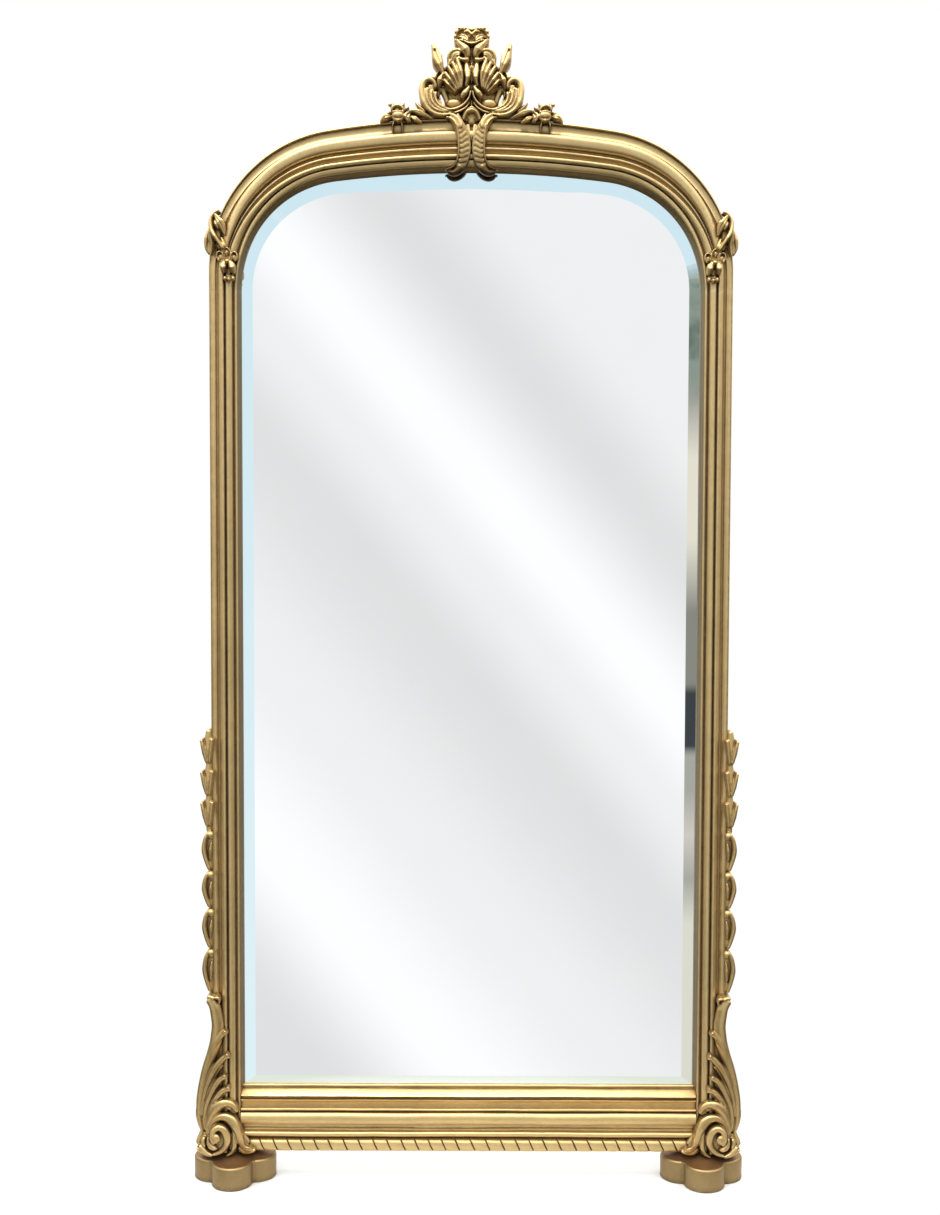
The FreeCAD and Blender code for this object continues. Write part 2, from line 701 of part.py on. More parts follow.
def make_rose_spray(side, sign):
    """Leaves, a rose and a bud that lie on the arch beside the crest."""
    body = new_body("rose_spray_" + side)
    outline = [(68.0, 1936.0), (86.0, 1941.0), (92.0, 1952.0), (98.0, 1963.0), (106.0, 1954.0),
               (120.0, 1950.0), (150.0, 1947.0), (164.0, 1940.0), (162.0, 1930.0), (150.0, 1932.0),
               (120.0, 1934.0), (104.0, 1934.0), (86.0, 1930.0)]
    front_pad(body, draw_path, mirrored(sign, outline), "-Dims.front_torus", "Dims.spray_leaf")
    sketch = sketch_in(body, "XZ_Plane", "Dims.front_torus")
    draw_circle(sketch, sign * dim("rose_across"), dim("rose_height"), dim("rose_radius"))
    pad(body, sketch, "Dims.spray_front - Dims.front_torus")


# ---------------------------------------------------------------- mounts on the stiles and arch

def make_corner_leaf(side, sign):
    """Crossing leaves over the joint between stile and arch."""
    body = new_body("corner_leaf_" + side)
    outline = [(451.0, 1780.0), (466.0, 1764.0), (478.0, 1740.0), (485.0, 1712.0), (481.0, 1700.0),
               (466.0, 1696.0), (458.0, 1714.0), (448.0, 1716.5), (440.0, 1727.0), (438.0, 1744.0),
               (448.0, 1762.0)]
    front_pad(body, draw_curve, mirrored(sign, outline), "-Dims.front_torus",
              "Dims.leaf_front - Dims.front_torus")


def make_corner_drop(side, sign):
    """Three-lobed calyx, bellflower and beads that hang below the corner leaves."""
    body = new_body("corner_drop_" + side)
    outline = [(436.0, 1715.0), (452.0, 1709.0), (455.0, 1694.0), (448.0, 1676.0), (446.0, 1658.0),
               (436.0, 1652.0), (423.0, 1650.0), (420.0, 1664.0), (420.0, 1680.0), (419.0, 1698.0),
               (426.0, 1710.0)]
    front_pad(body, draw_path, mirrored(sign, outline), "-Dims.front_torus",
              "Dims.drop_front - Dims.front_torus")


def make_husk_chain(side, sign):
    """Three trefoil husks above four buds, down the outer edge of the stile."""
    body = new_body("husk_chain_" + side)
    low = dim("husk_low")
    pitch = (dim("husk_high") - low) / 10
    spans = (1.7, 1.3, 1.4, 1.4, 1.3, 1.3, 1.6)
    centre = dim("husk_centre")
    half = dim("husk_half")
    waist = 0.35 * half
    right_side = []
    left_side = []
    height = low
    for span in spans:
        right_side.append((centre + waist, height))
        right_side.append((centre + half, height + 0.6 * span * pitch))
        left_side.append((centre - waist, height))
        left_side.append((centre - half, height + 0.6 * span * pitch))
        height += span * pitch
    outline = right_side + [(centre, height)] + left_side[::-1]
    front_pad(body, draw_path, mirrored(sign, outline), "Dims.husk_back",
              "Dims.husk_front + Dims.husk_back")
    cut_box(body, low_edge(sign, "Dims.sight_half", "Dims.half_width"), "-Dims.front_band",
            "Dims.husk_low - 1", "Dims.half_width - Dims.sight_half", "Dims.back_depth * 2",
            "Dims.husk_high - Dims.husk_low + 2")


def make_acanthus(side, sign):
    """Acanthus scroll that wraps the foot of the stile, with its volute."""
    body = new_body("acanthus_scroll_" + side)
    outline = [(480.0, 350.0), (460.0, 343.0), (454.0, 315.0), (446.0, 285.0), (442.0, 240.0),
               (447.0, 200.0), (441.0, 178.0), (428.0, 150.0), (420.0, 110.0), (409.0, 86.0),
               (395.0, 72.0), (404.0, 57.0), (452.0, 54.0), (503.0, 56.0), (497.0, 94.0),
               (503.0, 138.0), (500.0, 168.0), (489.0, 206.0), (476.0, 253.0), (476.0, 294.0),
               (485.0, 330.0)]
    front_pad(body, draw_path, mirrored(sign, outline), "Dims.acanthus_back",
              "Dims.acanthus_front + Dims.acanthus_back")
    sketch = sketch_in(body, "XZ_Plane", "Dims.acanthus_front - 1")
    draw_circle(sketch, sign * dim("volute_across"), dim("volute_height"), dim("volute_radius"))
    pad(body, sketch, "Dims.volute_front - Dims.acanthus_front + 1")
    cut_box(body, low_edge(sign, "Dims.sight_half - Dims.acanthus_reach", "Dims.half_width"),
            "-Dims.front_torus", "Dims.stile_bottom - 2",
            "Dims.half_width - Dims.sight_half + Dims.acanthus_reach", "Dims.back_depth * 2",
            "Dims.acanthus_high - Dims.stile_bottom + 4")


# ---------------------------------------------------------------- wall-tie hangers

def make_hanger(side, sign):
    """Strap plate with a rolled loop, and the D-ring that swings in it."""
    plate = new_body("hanger_plate_" + side)
    across = signed(sign, "Dims.hanger_across")
    loop_outer = "(Dims.loop_radius + Dims.plate_thick)"
    axle = "Dims.back_depth + " + loop_outer
    add_shape(plate, "AdditiveBox", UPRIGHT, x=across + " - Dims.plate_width / 2", y="Dims.back_depth",
              z="Dims.hanger_height", Length="Dims.plate_width", Width="Dims.plate_thick",
              Height="Dims.plate_length")
    add_shape(plate, "AdditiveCylinder", X_AXIS, x=across + " - Dims.plate_width / 2", y=axle,
              z="Dims.hanger_height", Radius=loop_outer, Height="Dims.plate_width")
    cut_hole(plate, X_AXIS, across + " - Dims.plate_width / 2 - 1", axle, "Dims.hanger_height",
             "Dims.loop_radius", "Dims.plate_width + 2")
    for height in ("Dims.screw_low", "Dims.screw_high"):
        add_shape(plate, "SubtractiveCone", Y_AXIS, x=across, y="Dims.back_depth", z=height,
                  Radius1="Dims.screw_radius + Dims.fit_gap", Radius2="Dims.screw_head + Dims.fit_gap",
                  Height="Dims.plate_thick")
    ring = new_body("hanger_ring_" + side)
    torus = add_shape(ring, "AdditiveTorus", Y_AXIS, x=across, y=axle, z="Dims.hanger_height",
                      Radius1="Dims.ring_radius", Radius2="Dims.ring_wire")
    torus.Angle3 = 180
    add_shape(ring, "AdditiveCylinder", X_AXIS, x=across + " - Dims.ring_radius", y=axle,
              z="Dims.hanger_height", Radius="Dims.ring_wire", Height="2 * Dims.ring_radius")
    for step in (-1, 1):
        add_shape(ring, "AdditiveSphere", UPRIGHT, x="%s + %d * Dims.ring_radius" % (across, step), y=axle,
                  z="Dims.hanger_height", Radius="Dims.ring_wire")


def make_hanger_screws():
    """Countersunk wood screws, two in each strap plate."""
    screws = []
    for side, sign in LEFT_RIGHT:
        for height in ("Dims.screw_low", "Dims.screw_high"):
            across = signed(sign, "Dims.hanger_across")
            head = bar("Cone", "screw_head", Y_AXIS, x=across, y="Dims.back_depth", z=height,
                       Radius1="Dims.screw_radius", Radius2="Dims.screw_head", Height="Dims.plate_thick")
            shank = bar("Cylinder", "screw_shank", Y_AXIS, x=across,
                        y="Dims.back_depth - Dims.screw_length + Dims.fit_gap", z=height,
                        Radius="Dims.screw_radius", Height="Dims.screw_length")
            screw = doc.addObject("Part::Fuse", "hanger_screw")
            screw.Base = head
            screw.Tool = shank
            screws.append(screw)
    group_node("hanger_screws", screws)


# ---------------------------------------------------------------- build and write

make_rail()
make_rope()
make_glass()
make_backing()
make_strips()
make_joinery()
make_crest_centre()
for mirror_side, mirror_sign in LEFT_RIGHT:
    make_stile(mirror_side, mirror_sign)
    make_arch(mirror_side, mirror_sign)
    make_foot(mirror_side, mirror_sign)
    make_crest_scroll(mirror_side, mirror_sign)
    make_crest_strap(mirror_side, mirror_sign)
    make_rose_spray(mirror_side, mirror_sign)
    make_corner_leaf(mirror_side, mirror_sign)
    make_corner_drop(mirror_side, mirror_sign)
    make_husk_chain(mirror_side, mirror_sign)
    make_acanthus(mirror_side, mirror_sign)
    make_hanger(mirror_side, mirror_sign)
make_hanger_screws()
doc.recompute()

failed = [item.Label for item in doc.Objects if "Invalid" in item.State or "Error" in item.State]
if failed:
    raise SystemExit("failed objects: " + ", ".join(failed))
for node in nodes:
    if node.Shape.isNull() or not node.Shape.isValid():
        raise SystemExit("bad shape: " + node.Label)

os.makedirs("parts", exist_ok=True)
for node in nodes:
    node.Shape.exportStep(os.path.join("parts", node.Label + ".step"))
    print("%-24s %10.0f mm3  solids %d" % (node.Label, node.Shape.Volume, len(node.Shape.Solids)))
print(len(nodes), "nodes")
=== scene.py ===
import math
import random

import bmesh
import bpy
import numpy as np
from mathutils import Matrix, Vector


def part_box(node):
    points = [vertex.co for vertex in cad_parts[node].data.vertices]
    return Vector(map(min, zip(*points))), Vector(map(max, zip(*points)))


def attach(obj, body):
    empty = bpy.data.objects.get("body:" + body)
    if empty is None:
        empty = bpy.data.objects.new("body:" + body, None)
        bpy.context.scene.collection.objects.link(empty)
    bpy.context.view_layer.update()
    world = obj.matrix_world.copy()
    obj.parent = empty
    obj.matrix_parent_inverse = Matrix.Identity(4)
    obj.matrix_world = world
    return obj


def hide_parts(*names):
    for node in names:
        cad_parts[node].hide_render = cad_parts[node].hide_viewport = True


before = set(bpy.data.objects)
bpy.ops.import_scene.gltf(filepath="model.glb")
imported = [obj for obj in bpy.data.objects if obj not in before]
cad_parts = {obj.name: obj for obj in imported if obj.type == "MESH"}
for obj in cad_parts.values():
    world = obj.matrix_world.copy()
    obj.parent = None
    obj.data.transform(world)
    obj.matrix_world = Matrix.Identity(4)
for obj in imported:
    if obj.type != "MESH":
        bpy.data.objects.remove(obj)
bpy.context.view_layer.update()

# An arched gilt floor mirror. Shapes are worked out in millimetres in the row frame, with depth
# counted forwards from the plane through the feet, and are turned into metres when a mesh is made.

MM = 0.001
LEFT_RIGHT = (("left", -1), ("right", 1))


# ---------------- places taken from the frame

def box_mm(node):
    """Lowest and highest corner of a CAD node, in millimetres."""
    low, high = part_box(node)
    return [v / MM for v in low], [v / MM for v in high]


stile_low, stile_high = box_mm("stile_right")
arch_low, arch_high = box_mm("arch_right")
rail_low, rail_high = box_mm("bottom_rail")
rope_low, rope_high = box_mm("rope_moulding")
glass_low, glass_high = box_mm("mirror_glass")
foot_low, foot_high = box_mm("foot_right")

HALF_WIDTH = stile_high[0]  # centre line to the outer side of a stile
SIGHT_HALF = rail_high[0]  # centre line to the sight edge
JOINT_HEIGHT = arch_low[2]  # stile to arch joint
CROWN_TOP = arch_high[2]
BACK_DEPTH = stile_high[1]
FOOT_CENTRE = (foot_low[0] + foot_high[0]) / 2
REBATE = 8.0  # width of the step that holds the glass

OUTER_SPRING = 1670.0  # height where the frame's outer side starts to curve

# Three-centred contours of the arch: half width, height where the curve starts, rise, corner radius
OUTER_CONTOUR = (HALF_WIDTH, OUTER_SPRING, CROWN_TOP - OUTER_SPRING, 255.0)
SIGHT_CONTOUR = (SIGHT_HALF, JOINT_HEIGHT, 213.0, 199.0)


# ---------------- small helpers

WAVES = 6  # sine waves that make up one wander
CURVE_STEPS = 24  # fine steps between two points of a smooth curve


def lerp(a, b, t):
    return a + (b - a) * t


def smooth_step(t):
    t = min(max(t, 0.0), 1.0)
    return t * t * (3 - 2 * t)


def waver(seed, length):
    """A slow wander about zero along a run of this length, as a hand-held plane leaves."""
    draw = random.Random(seed)
    waves = [(draw.uniform(0.6, 1.0) / (k + 1), (k + 1) * draw.uniform(1.4, 2.6) / length,
              draw.uniform(0, 2 * math.pi)) for k in range(WAVES)]
    return lambda along: sum(a * math.sin(2 * math.pi * f * along + p) for a, f, p in waves) / 2


def catmull(points, count):
    """Evenly spaced samples of a smooth curve through the points. Each point is a tuple."""
    p = np.array(points, float)
    if len(p) == 2:
        t = np.linspace(0, 1, count)[:, None]
        return p[0] * (1 - t) + p[1] * t
    p = np.vstack([2 * p[0] - p[1], p, 2 * p[-1] - p[-2]])
    fine = []
    for k in range(1, len(p) - 2):
        a, b, c, d = p[k - 1], p[k], p[k + 1], p[k + 2]
        for t in np.arange(0, 1, 1 / CURVE_STEPS):
            fine.append(0.5 * (2 * b + (c - a) * t + (2 * a - 5 * b + 4 * c - d) * t * t
                               + (3 * b - a - 3 * c + d) * t ** 3))
    fine.append(p[-2])
    fine = np.array(fine)
    steps = np.linalg.norm(np.diff(fine, axis=0), axis=1)
    along = np.concatenate([[0], np.cumsum(steps)])
    wanted = np.linspace(0, along[-1], count)
    return np.stack([np.interp(wanted, along, fine[:, k]) for k in range(p.shape[1])], axis=1)


def spread(values, count):
    """One value, or a list of two or more, eased out to a value for each of count stations."""
    if isinstance(values, (int, float)):
        values = (values, values)
    if len(values) == 2:
        return np.linspace(values[0], values[1], count)
    return catmull([(v,) for v in values], count)[:, 0]


def new_mesh(name, points, faces, smooth=True):
    """A mesh object from points in millimetres as (across, depth forwards, height)."""
    verts = np.array(points, float) * (MM, -MM, MM)
    mesh = bpy.data.meshes.new(name)
    mesh.from_pydata(verts.tolist(), [], faces)
    mesh.validate()
    if smooth:
        mesh.shade_smooth()
    mesh.update()
    piece = bpy.data.objects.new(name, mesh)
    bpy.context.scene.collection.objects.link(piece)
    return piece


def crease(piece, degrees):
    """Keeps edges sharper than this crisp."""
    piece.data.set_sharp_from_angle(angle=math.radians(degrees))


def loft(loops, cap=True):
    """Points and quads that join closed loops of equal length, with a cap on each end."""
    rows = np.array(loops, float)
    count, around = rows.shape[:2]
    points = rows.reshape(-1, 3)
    faces = []
    for i in range(count - 1):
        for j in range(around):
            k = (j + 1) % around
            faces.append((i * around + j, i * around + k, (i + 1) * around + k, (i + 1) * around + j))
    if cap:
        faces.append(tuple(reversed(range(around))))
        faces.append(tuple(range((count - 1) * around, count * around)))
    return points, faces


def mirrored(points, faces, side):
    """The same shape for the left (-1) or the right (+1)."""
    if side > 0:
        return points, faces
    flipped = [tuple(reversed(f)) for f in faces]
    return np.array(points) * (-1, 1, 1), flipped


def outward(piece):
    """Turns every face of a closed mesh outwards."""
    mesh = bmesh.new()
    mesh.from_mesh(piece.data)
    bmesh.ops.recalc_face_normals(mesh, faces=mesh.faces)
    mesh.to_mesh(piece.data)
    mesh.free()


def finish_piece(piece, node, materials, body="frame"):
    """Gives a piece its materials and makes it stand for a CAD node."""
    for material in materials:
        piece.data.materials.append(material)
    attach(piece, body)
    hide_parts(node)
    return piece


def solid_piece(name, node, shape, materials, crease_angle):
    """A closed mesh with smooth faces and crisp edges that stands for a CAD node."""
    piece = new_mesh(name, *shape)
    outward(piece)
    crease(piece, crease_angle)
    return finish_piece(piece, node, materials)


# ---------------- materials

class Nodes:
    """A short way to write node trees."""

    def __init__(self, material):
        material.use_nodes = True
        self.tree = material.node_tree
        self.tree.nodes.clear()

    def add(self, kind, inputs=None, **settings):
        node = self.tree.nodes.new(kind)
        for key, value in settings.items():
            setattr(node, key, value)
        for key, value in (inputs or {}).items():
            self.put(node.inputs[key], value)
        return node

    def put(self, socket, value):
        if isinstance(value, bpy.types.NodeSocket):
            self.tree.links.new(value, socket)
        else:
            socket.default_value = value

    def math(self, operation, a, b=0.0, c=0.0, clamp=False):
        node = self.add("ShaderNodeMath", operation=operation, use_clamp=clamp)
        for socket, value in zip(node.inputs, (a, b, c)):
            self.put(socket, value)
        return node.outputs[0]

    def mix(self, factor, a, b):
        node = self.add("ShaderNodeMix", data_type="RGBA")
        self.put(node.inputs[0], factor)
        self.put(node.inputs[6], a)
        self.put(node.inputs[7], b)
        return node.outputs[2]

    def noise(self, scale, detail=3.0, rough=0.55, vector=None, stretch=None):
        if vector is None:
            vector = self.add("ShaderNodeTexCoord").outputs["Object"]
        if stretch:
            vector = self.add("ShaderNodeMapping", {"Vector": vector, "Scale": stretch}).outputs[0]
        node = self.add("ShaderNodeTexNoise", {"Vector": vector, "Scale": scale, "Detail": detail,
                                               "Roughness": rough})
        return node.outputs["Fac"]

    def ramp(self, factor, stops, interpolation="LINEAR"):
        node = self.add("ShaderNodeValToRGB")
        self.put(node.inputs[0], factor)
        node.color_ramp.interpolation = interpolation
        elements = node.color_ramp.elements
        while len(elements) < len(stops):
            elements.new(0.5)
        for element, (place, colour) in zip(elements, stops):
            element.position = place
            element.color = (*colour, 1)
        return node.outputs[0]

    def remap(self, value, low, high, to_low=0.0, to_high=1.0):
        node = self.add("ShaderNodeMapRange", {"Value": value, "From Min": low, "From Max": high,
                                               "To Min": to_low, "To Max": to_high})
        return node.outputs[0]

    def bump(self, height, distance, strength=1.0, normal=None):
        node = self.add("ShaderNodeBump", {"Height": height, "Distance": distance,
                                           "Strength": strength})
        if normal is not None:
            self.put(node.inputs["Normal"], normal)
        return node.outputs[0]

    def output(self, shader):
        self.add("ShaderNodeOutputMaterial", {"Surface": shader})

    def principled(self, inputs):
        self.output(self.add("ShaderNodeBsdfPrincipled", inputs).outputs[0])


def new_material(name):
    material = bpy.data.materials.new(name)
    return material, Nodes(material)


def darker(colour, share):
    return (*(v * share for v in colour), 1)


def gilt(name, base, glow, shade, rough, reach, brush, rub_and_highlight=0.5, painted_shade_heights=None):
    """Antique gold: bronze-powder gilding with a brown glaze in the hollows. An ambient-occlusion
    mask deepens the hollows further as painted shade.

    base is the gilding, glow the colour of ridges that are rubbed bright and partly painted as
    highlights, and shade the colour of the glaze and of the painted shade. reach is how far, in
    metres, the occlusion mask looks for nearby surfaces, brush the stretch of the brush marks and
    rub_and_highlight how much of the ridges is rubbed bright and painted as highlight.
    painted_shade_heights is a pair of heights in metres: below the first, painted shade covers
    everything and above the second there is none but in the hollows."""
    material, n = new_material(name)
    broad = n.noise(9.0, 4.0)
    mottle = n.noise(70.0, 4.0, 0.6)
    grain = n.noise(520.0, 3.0, 0.6, stretch=brush)
    flecks = n.noise(900.0, 2.0, 0.7)
    # ambient-occlusion mask: the brown glaze of the hollows, deepened as painted shade
    hollow = n.add("ShaderNodeAmbientOcclusion", {"Distance": reach}, samples=6).outputs["AO"]
    clear_of_glaze_and_shade = n.remap(hollow, 0.30, 0.92)
    uneven = n.math("MULTIPLY_ADD", mottle, 0.5, -0.25)
    clear_of_glaze_and_shade = n.math("ADD", clear_of_glaze_and_shade, uneven, clamp=True)
    ridge = n.add("ShaderNodeNewGeometry").outputs["Pointiness"]
    # ridges rubbed bright, partly a painted highlight along edges
    rubbed_and_highlit = n.math("MULTIPLY", n.remap(ridge, 0.52, 0.60), n.remap(mottle, 0.40, 0.62), clamp=True)
    body = n.mix(n.remap(broad, 0.35, 0.65), (*base, 1), darker(base, 0.86))
    body = n.mix(n.remap(grain, 0.35, 0.7, 0.0, 0.45), body, darker(base, 0.72))
    lit = n.mix(n.math("MULTIPLY", rubbed_and_highlit, rub_and_highlight), body, (*glow, 1))
    colour = n.mix(clear_of_glaze_and_shade, (*shade, 1), lit)
    dust = n.remap(flecks, 0.62, 0.78, 0.0, 0.25)
    colour = n.mix(dust, colour, (*glow, 1))
    # painted shade: below the given heights the colour turns to the shade colour
    if painted_shade_heights:
        spot = n.add("ShaderNodeTexCoord").outputs["Object"]
        height = n.add("ShaderNodeSeparateXYZ", {"Vector": spot}).outputs[2]
        colour = n.mix(n.remap(height, *painted_shade_heights), (*shade, 1), colour)
    roughness = n.math("MULTIPLY_ADD", n.math("SUBTRACT", 1.0, clear_of_glaze_and_shade), 0.25, rough)
    roughness = n.math("MULTIPLY_ADD", mottle, 0.16, n.math("SUBTRACT", roughness, 0.08))
    metal = n.remap(clear_of_glaze_and_shade, 0.0, 1.0, 0.55, 0.88)
    soft = n.bump(broad, 0.0010, 0.5)
    lumps = n.bump(mottle, 0.0005, 0.55, soft)
    fine = n.bump(grain, 0.00012, 0.6, lumps)
    n.principled({"Base Color": colour, "Metallic": metal, "Roughness": roughness,
                  "Normal": fine, "Specular IOR Level": 0.45})
    return material


def wood(name, light, dark, scale, rough=0.65, knots=0.0):
    """Timber with upright grain, for the backs and the inner pieces."""
    material, n = new_material(name)
    grain = (1.0, 1.0, 0.06)
    drift = n.noise(scale * 0.35, 3.0, 0.5, stretch=grain)
    rings = n.math("FRACT", n.math("MULTIPLY", drift, 9.0))
    rings = n.math("PINGPONG", rings, 0.5)
    fibre = n.noise(scale * 14.0, 3.0, 0.65, stretch=grain)
    tone = n.math("MULTIPLY_ADD", fibre, 0.6, n.math("MULTIPLY", rings, 0.8))
    colour = n.mix(n.remap(tone, 0.25, 0.75), (*light, 1), (*dark, 1))
    stain = n.noise(scale * 0.2, 4.0)
    colour = n.mix(n.remap(stain, 0.45, 0.75, 0.0, 0.35 + knots), colour, darker(dark, 0.6))
    height = n.math("MULTIPLY_ADD", fibre, 0.7, n.math("MULTIPLY", rings, 0.3))
    n.principled({"Base Color": colour, "Normal": n.bump(height, 0.0005, 0.6),
                  "Roughness": n.remap(fibre, 0.3, 0.7, rough - 0.08, rough + 0.1),
                  "Specular IOR Level": 0.35})
    return material


def zinc(name):
    """Bright zinc plate with a fine brushed grain and dull patches."""
    material, n = new_material(name)
    patch = n.noise(160.0, 3.0)
    scratch = n.noise(1500.0, 2.0, 0.6, stretch=(1.0, 1.0, 0.05))
    colour = n.mix(n.remap(patch, 0.35, 0.7), (0.66, 0.66, 0.64, 1), (0.44, 0.44, 0.42, 1))
    n.principled({"Base Color": colour, "Metallic": 0.95,
                  "Roughness": n.remap(patch, 0.3, 0.7, 0.28, 0.48),
                  "Normal": n.bump(scratch, 0.00006, 0.5)})
    return material


def silvering(name):
    """Silvered glass: a near-perfect mirror with faint cleaning marks."""
    material, n = new_material(name)
    haze = n.noise(7.0, 4.0)
    silver = n.mix(n.remap(haze, 0.3, 0.7), (0.93, 0.95, 0.95, 1), (0.945, 0.96, 0.96, 1))
    n.principled({"Base Color": silver, "Metallic": 1.0,
                  "Roughness": n.remap(haze, 0.3, 0.75, 0.0, 0.02)})
    return material


def glass_edge(name):
    """The green ground edge of the glass."""
    material, n = new_material(name)
    grind = n.noise(900.0, 2.0)
    n.principled({"Base Color": n.mix(grind, (0.34, 0.45, 0.41, 1), (0.50, 0.60, 0.56, 1)),
                  "Roughness": 0.45, "Normal": n.bump(grind, 0.0001, 0.5)})
    return material


# Each gilt darkens its hollows through an ambient-occlusion mask, part glaze and part painted shade,
# and brightens its ridges, part wear and part painted highlight.
FRAME_GILT = gilt("gilt_frame_gold", (0.68, 0.49, 0.23), (0.92, 0.75, 0.45), (0.125, 0.084, 0.040),
                  0.40, 0.005, (1.0, 1.0, 0.18))
RAIL_GILT = gilt("gilt_rail_gold", (0.66, 0.465, 0.205), (0.90, 0.72, 0.40), (0.17, 0.085, 0.020),
                 0.40, 0.006, (0.18, 1.0, 1.0))
# a darker copy of the frame's gilt for the band beside the glass: painted shade
REVEAL_SHADE_GILT = gilt("gilt_reveal_painted_shade", (0.27, 0.185, 0.08), (0.42, 0.31, 0.15), (0.10, 0.052, 0.014),
                   0.50, 0.006, (1.0, 1.0, 0.3))
CARVED_GILT = gilt("gilt_carved_gold", (0.63, 0.44, 0.19), (0.90, 0.73, 0.42),
                   (0.11, 0.052, 0.013), 0.36, 0.008, (1.0, 1.0, 1.0), 0.7)
# below its paw this gilt turns to the shade colour: painted shade where the strap rolls under the arch
STRAP_GILT = gilt("gilt_strap_gold", (0.62, 0.43, 0.19), (0.90, 0.73, 0.42),
                  (0.10, 0.062, 0.026), 0.38, 0.008, (1.0, 1.0, 1.0), 0.6, (1.846, 1.890))
# more painted shade in the hollows and brighter painted highlight on the ridges than the other carvings
ACANTHUS_GILT = gilt("gilt_acanthus_gold", (0.60, 0.415, 0.18), (0.98, 0.84, 0.54),
                     (0.075, 0.036, 0.010), 0.31, 0.011, (1.0, 1.0, 1.0), 0.95)
# a darker copy of the gilt for the feet: painted shade, with bright rims that are partly painted
# highlight
FOOT_SHADED_GILT = gilt("gilt_foot_painted_shade_gold", (0.31, 0.215, 0.095), (0.80, 0.63, 0.35), (0.08, 0.042, 0.012),
                 0.42, 0.012, (1.0, 1.0, 0.3), 1.0)
# darker brown for the tops of the feet: grime and painted shadow under the carving
FOOT_TOP_GRIME_AND_SHADE = gilt("gilt_foot_top_grime_and_shadow", (0.25, 0.135, 0.055), (0.40, 0.25, 0.11),
                     (0.10, 0.052, 0.018), 0.50, 0.012, (1.0, 1.0, 1.0))
BARE_BACK = wood("ochre_washed_back", (0.44, 0.31, 0.15), (0.30, 0.19, 0.08), 18.0)
PLYWOOD = wood("raw_plywood", (0.60, 0.46, 0.30), (0.42, 0.30, 0.18), 9.0, 0.7, 0.1)
SOFTWOOD = wood("planed_softwood", (0.70, 0.54, 0.34), (0.50, 0.34, 0.18), 26.0, 0.6)
ZINC = zinc("zinc_plate")
SILVER = silvering("silvered_glass")
GLASS_EDGE = glass_edge("ground_glass_edge")


# ---------------- mouldings

SOFT_STEPS = 8  # steps across a soft band
ROUND_STEPS = 14  # steps across a round or full band
MOULDING_CREASE = 38  # degrees above which an edge stays crisp
BACK_FACE_LIMIT = 19.0  # faces behind this depth that look backwards are bare wood
LOOKS_BACK = 0.7  # least part of such a face's normal that points backwards
BARE_SLOT, SHADE_REVEAL_SLOT = 1, 2  # places of a moulding's materials after the gilt


def back_to_wood(piece):
    """Faces that look backwards near the wall side get the bare wood material."""
    for face in piece.data.polygons:
        if face.center.y > BACK_FACE_LIMIT * MM and face.normal.y > LOOKS_BACK:
            face.material_index = BARE_SLOT
            face.use_smooth = False


def band_depths(kind, start, middle, end):
    """Depths across one band of a moulding, at evenly spaced fractions of its width."""
    if kind == "flat":
        return [(0.0, start), (0.5, middle), (1.0, end)]
    rows = []
    count = SOFT_STEPS if kind == "soft" else ROUND_STEPS
    for k in range(count + 1):
        t = k / count
        if kind != "soft":
            t = 0.5 - 0.5 * math.cos(math.pi * t)
        off = abs(2 * t - 1)
        bump = {"soft": 1 - off ** 2, "round": math.sqrt(max(0.0, 1 - off ** 2)),
                "full": max(0.0, 1 - off ** 2.8) ** 0.62}[kind]
        rows.append((t, lerp(start, end, t) + (middle - (start + end) / 2) * bump))
    return rows


# kind, width and depths on the stile, width and depths at the crown, outermost band first
FRAME_BANDS = (
    ("round", 2.0, (17.5, 20.0, 19.0), 5.0, (17.5, 22.0, 18.5)),
    ("soft", 0.5, (18.6, 18.2, 18.8), 4.0, (17.0, 15.6, 17.0)),
    ("soft", 8.5, (19.5, 18.0, 19.5), 12.0, (20.4, 18.6, 19.8)),
    ("soft", 5.5, (18.5, 15.0, 17.0), 1.0, (19.8, 19.4, 20.0)),
    ("full", 11.2, (19.0, 27.0, 25.0), 24.0, (21.5, 27.0, 18.5)),
    ("flat", 1.6, (21.0, 19.0, 20.0), 5.5, (11.5, 10.0, 12.0)),
    ("flat", 0.4, (20.0, 20.0, 20.0), 3.0, (18.5, 19.0, 18.5)),
    ("soft", 1.2, (20.0, 18.8, 21.0), 8.0, (14.0, 8.5, 12.0)),
    ("full", 12.0, (23.5, 26.0, 19.5), 9.5, (15.5, 23.5, 15.5)),
    ("soft", 3.4, (18.0, 15.5, 17.0), 1.8, (14.0, 12.0, 13.5)),
    ("full", 4.4, (19.0, 22.0, 20.0), 10.2, (17.0, 16.5, 13.0)),
    ("soft", 2.8, (20.0, 12.5, 0.0), 9.0, (13.0, 8.0, 0.0)),
)


def frame_section(weight):
    """Moulding line as (fraction of the width, depth, band index), weight 0 stile to 1 crown."""
    widths = [lerp(b[1], b[3], weight) for b in FRAME_BANDS]
    total = sum(widths)
    line = []
    place = 0.0
    for index, (band, width) in enumerate(zip(FRAME_BANDS, widths)):
        depths = [lerp(a, b, weight) for a, b in zip(band[2], band[4])]
        for t, depth in band_depths(band[0], *depths):
            line.append(((place + t * width) / total, depth, index))
        place += width
    return line


STILE_WIDTH = sum(b[1] for b in FRAME_BANDS)
CROWN_WIDTH = sum(b[3] for b in FRAME_BANDS)
BAND_WAVE = 0.30  # how far a band wanders in depth, in millimetres
STILE_STATIONS = 181
ARCH_STATIONS = 150
ARCH_STATION_GAP = 4.2  # about how far apart the arch's stations are
ARCH_RUN = 620.0  # about the length of one half of the arch
ARCH_LEVELS = 8  # contours from the outer to the sight one


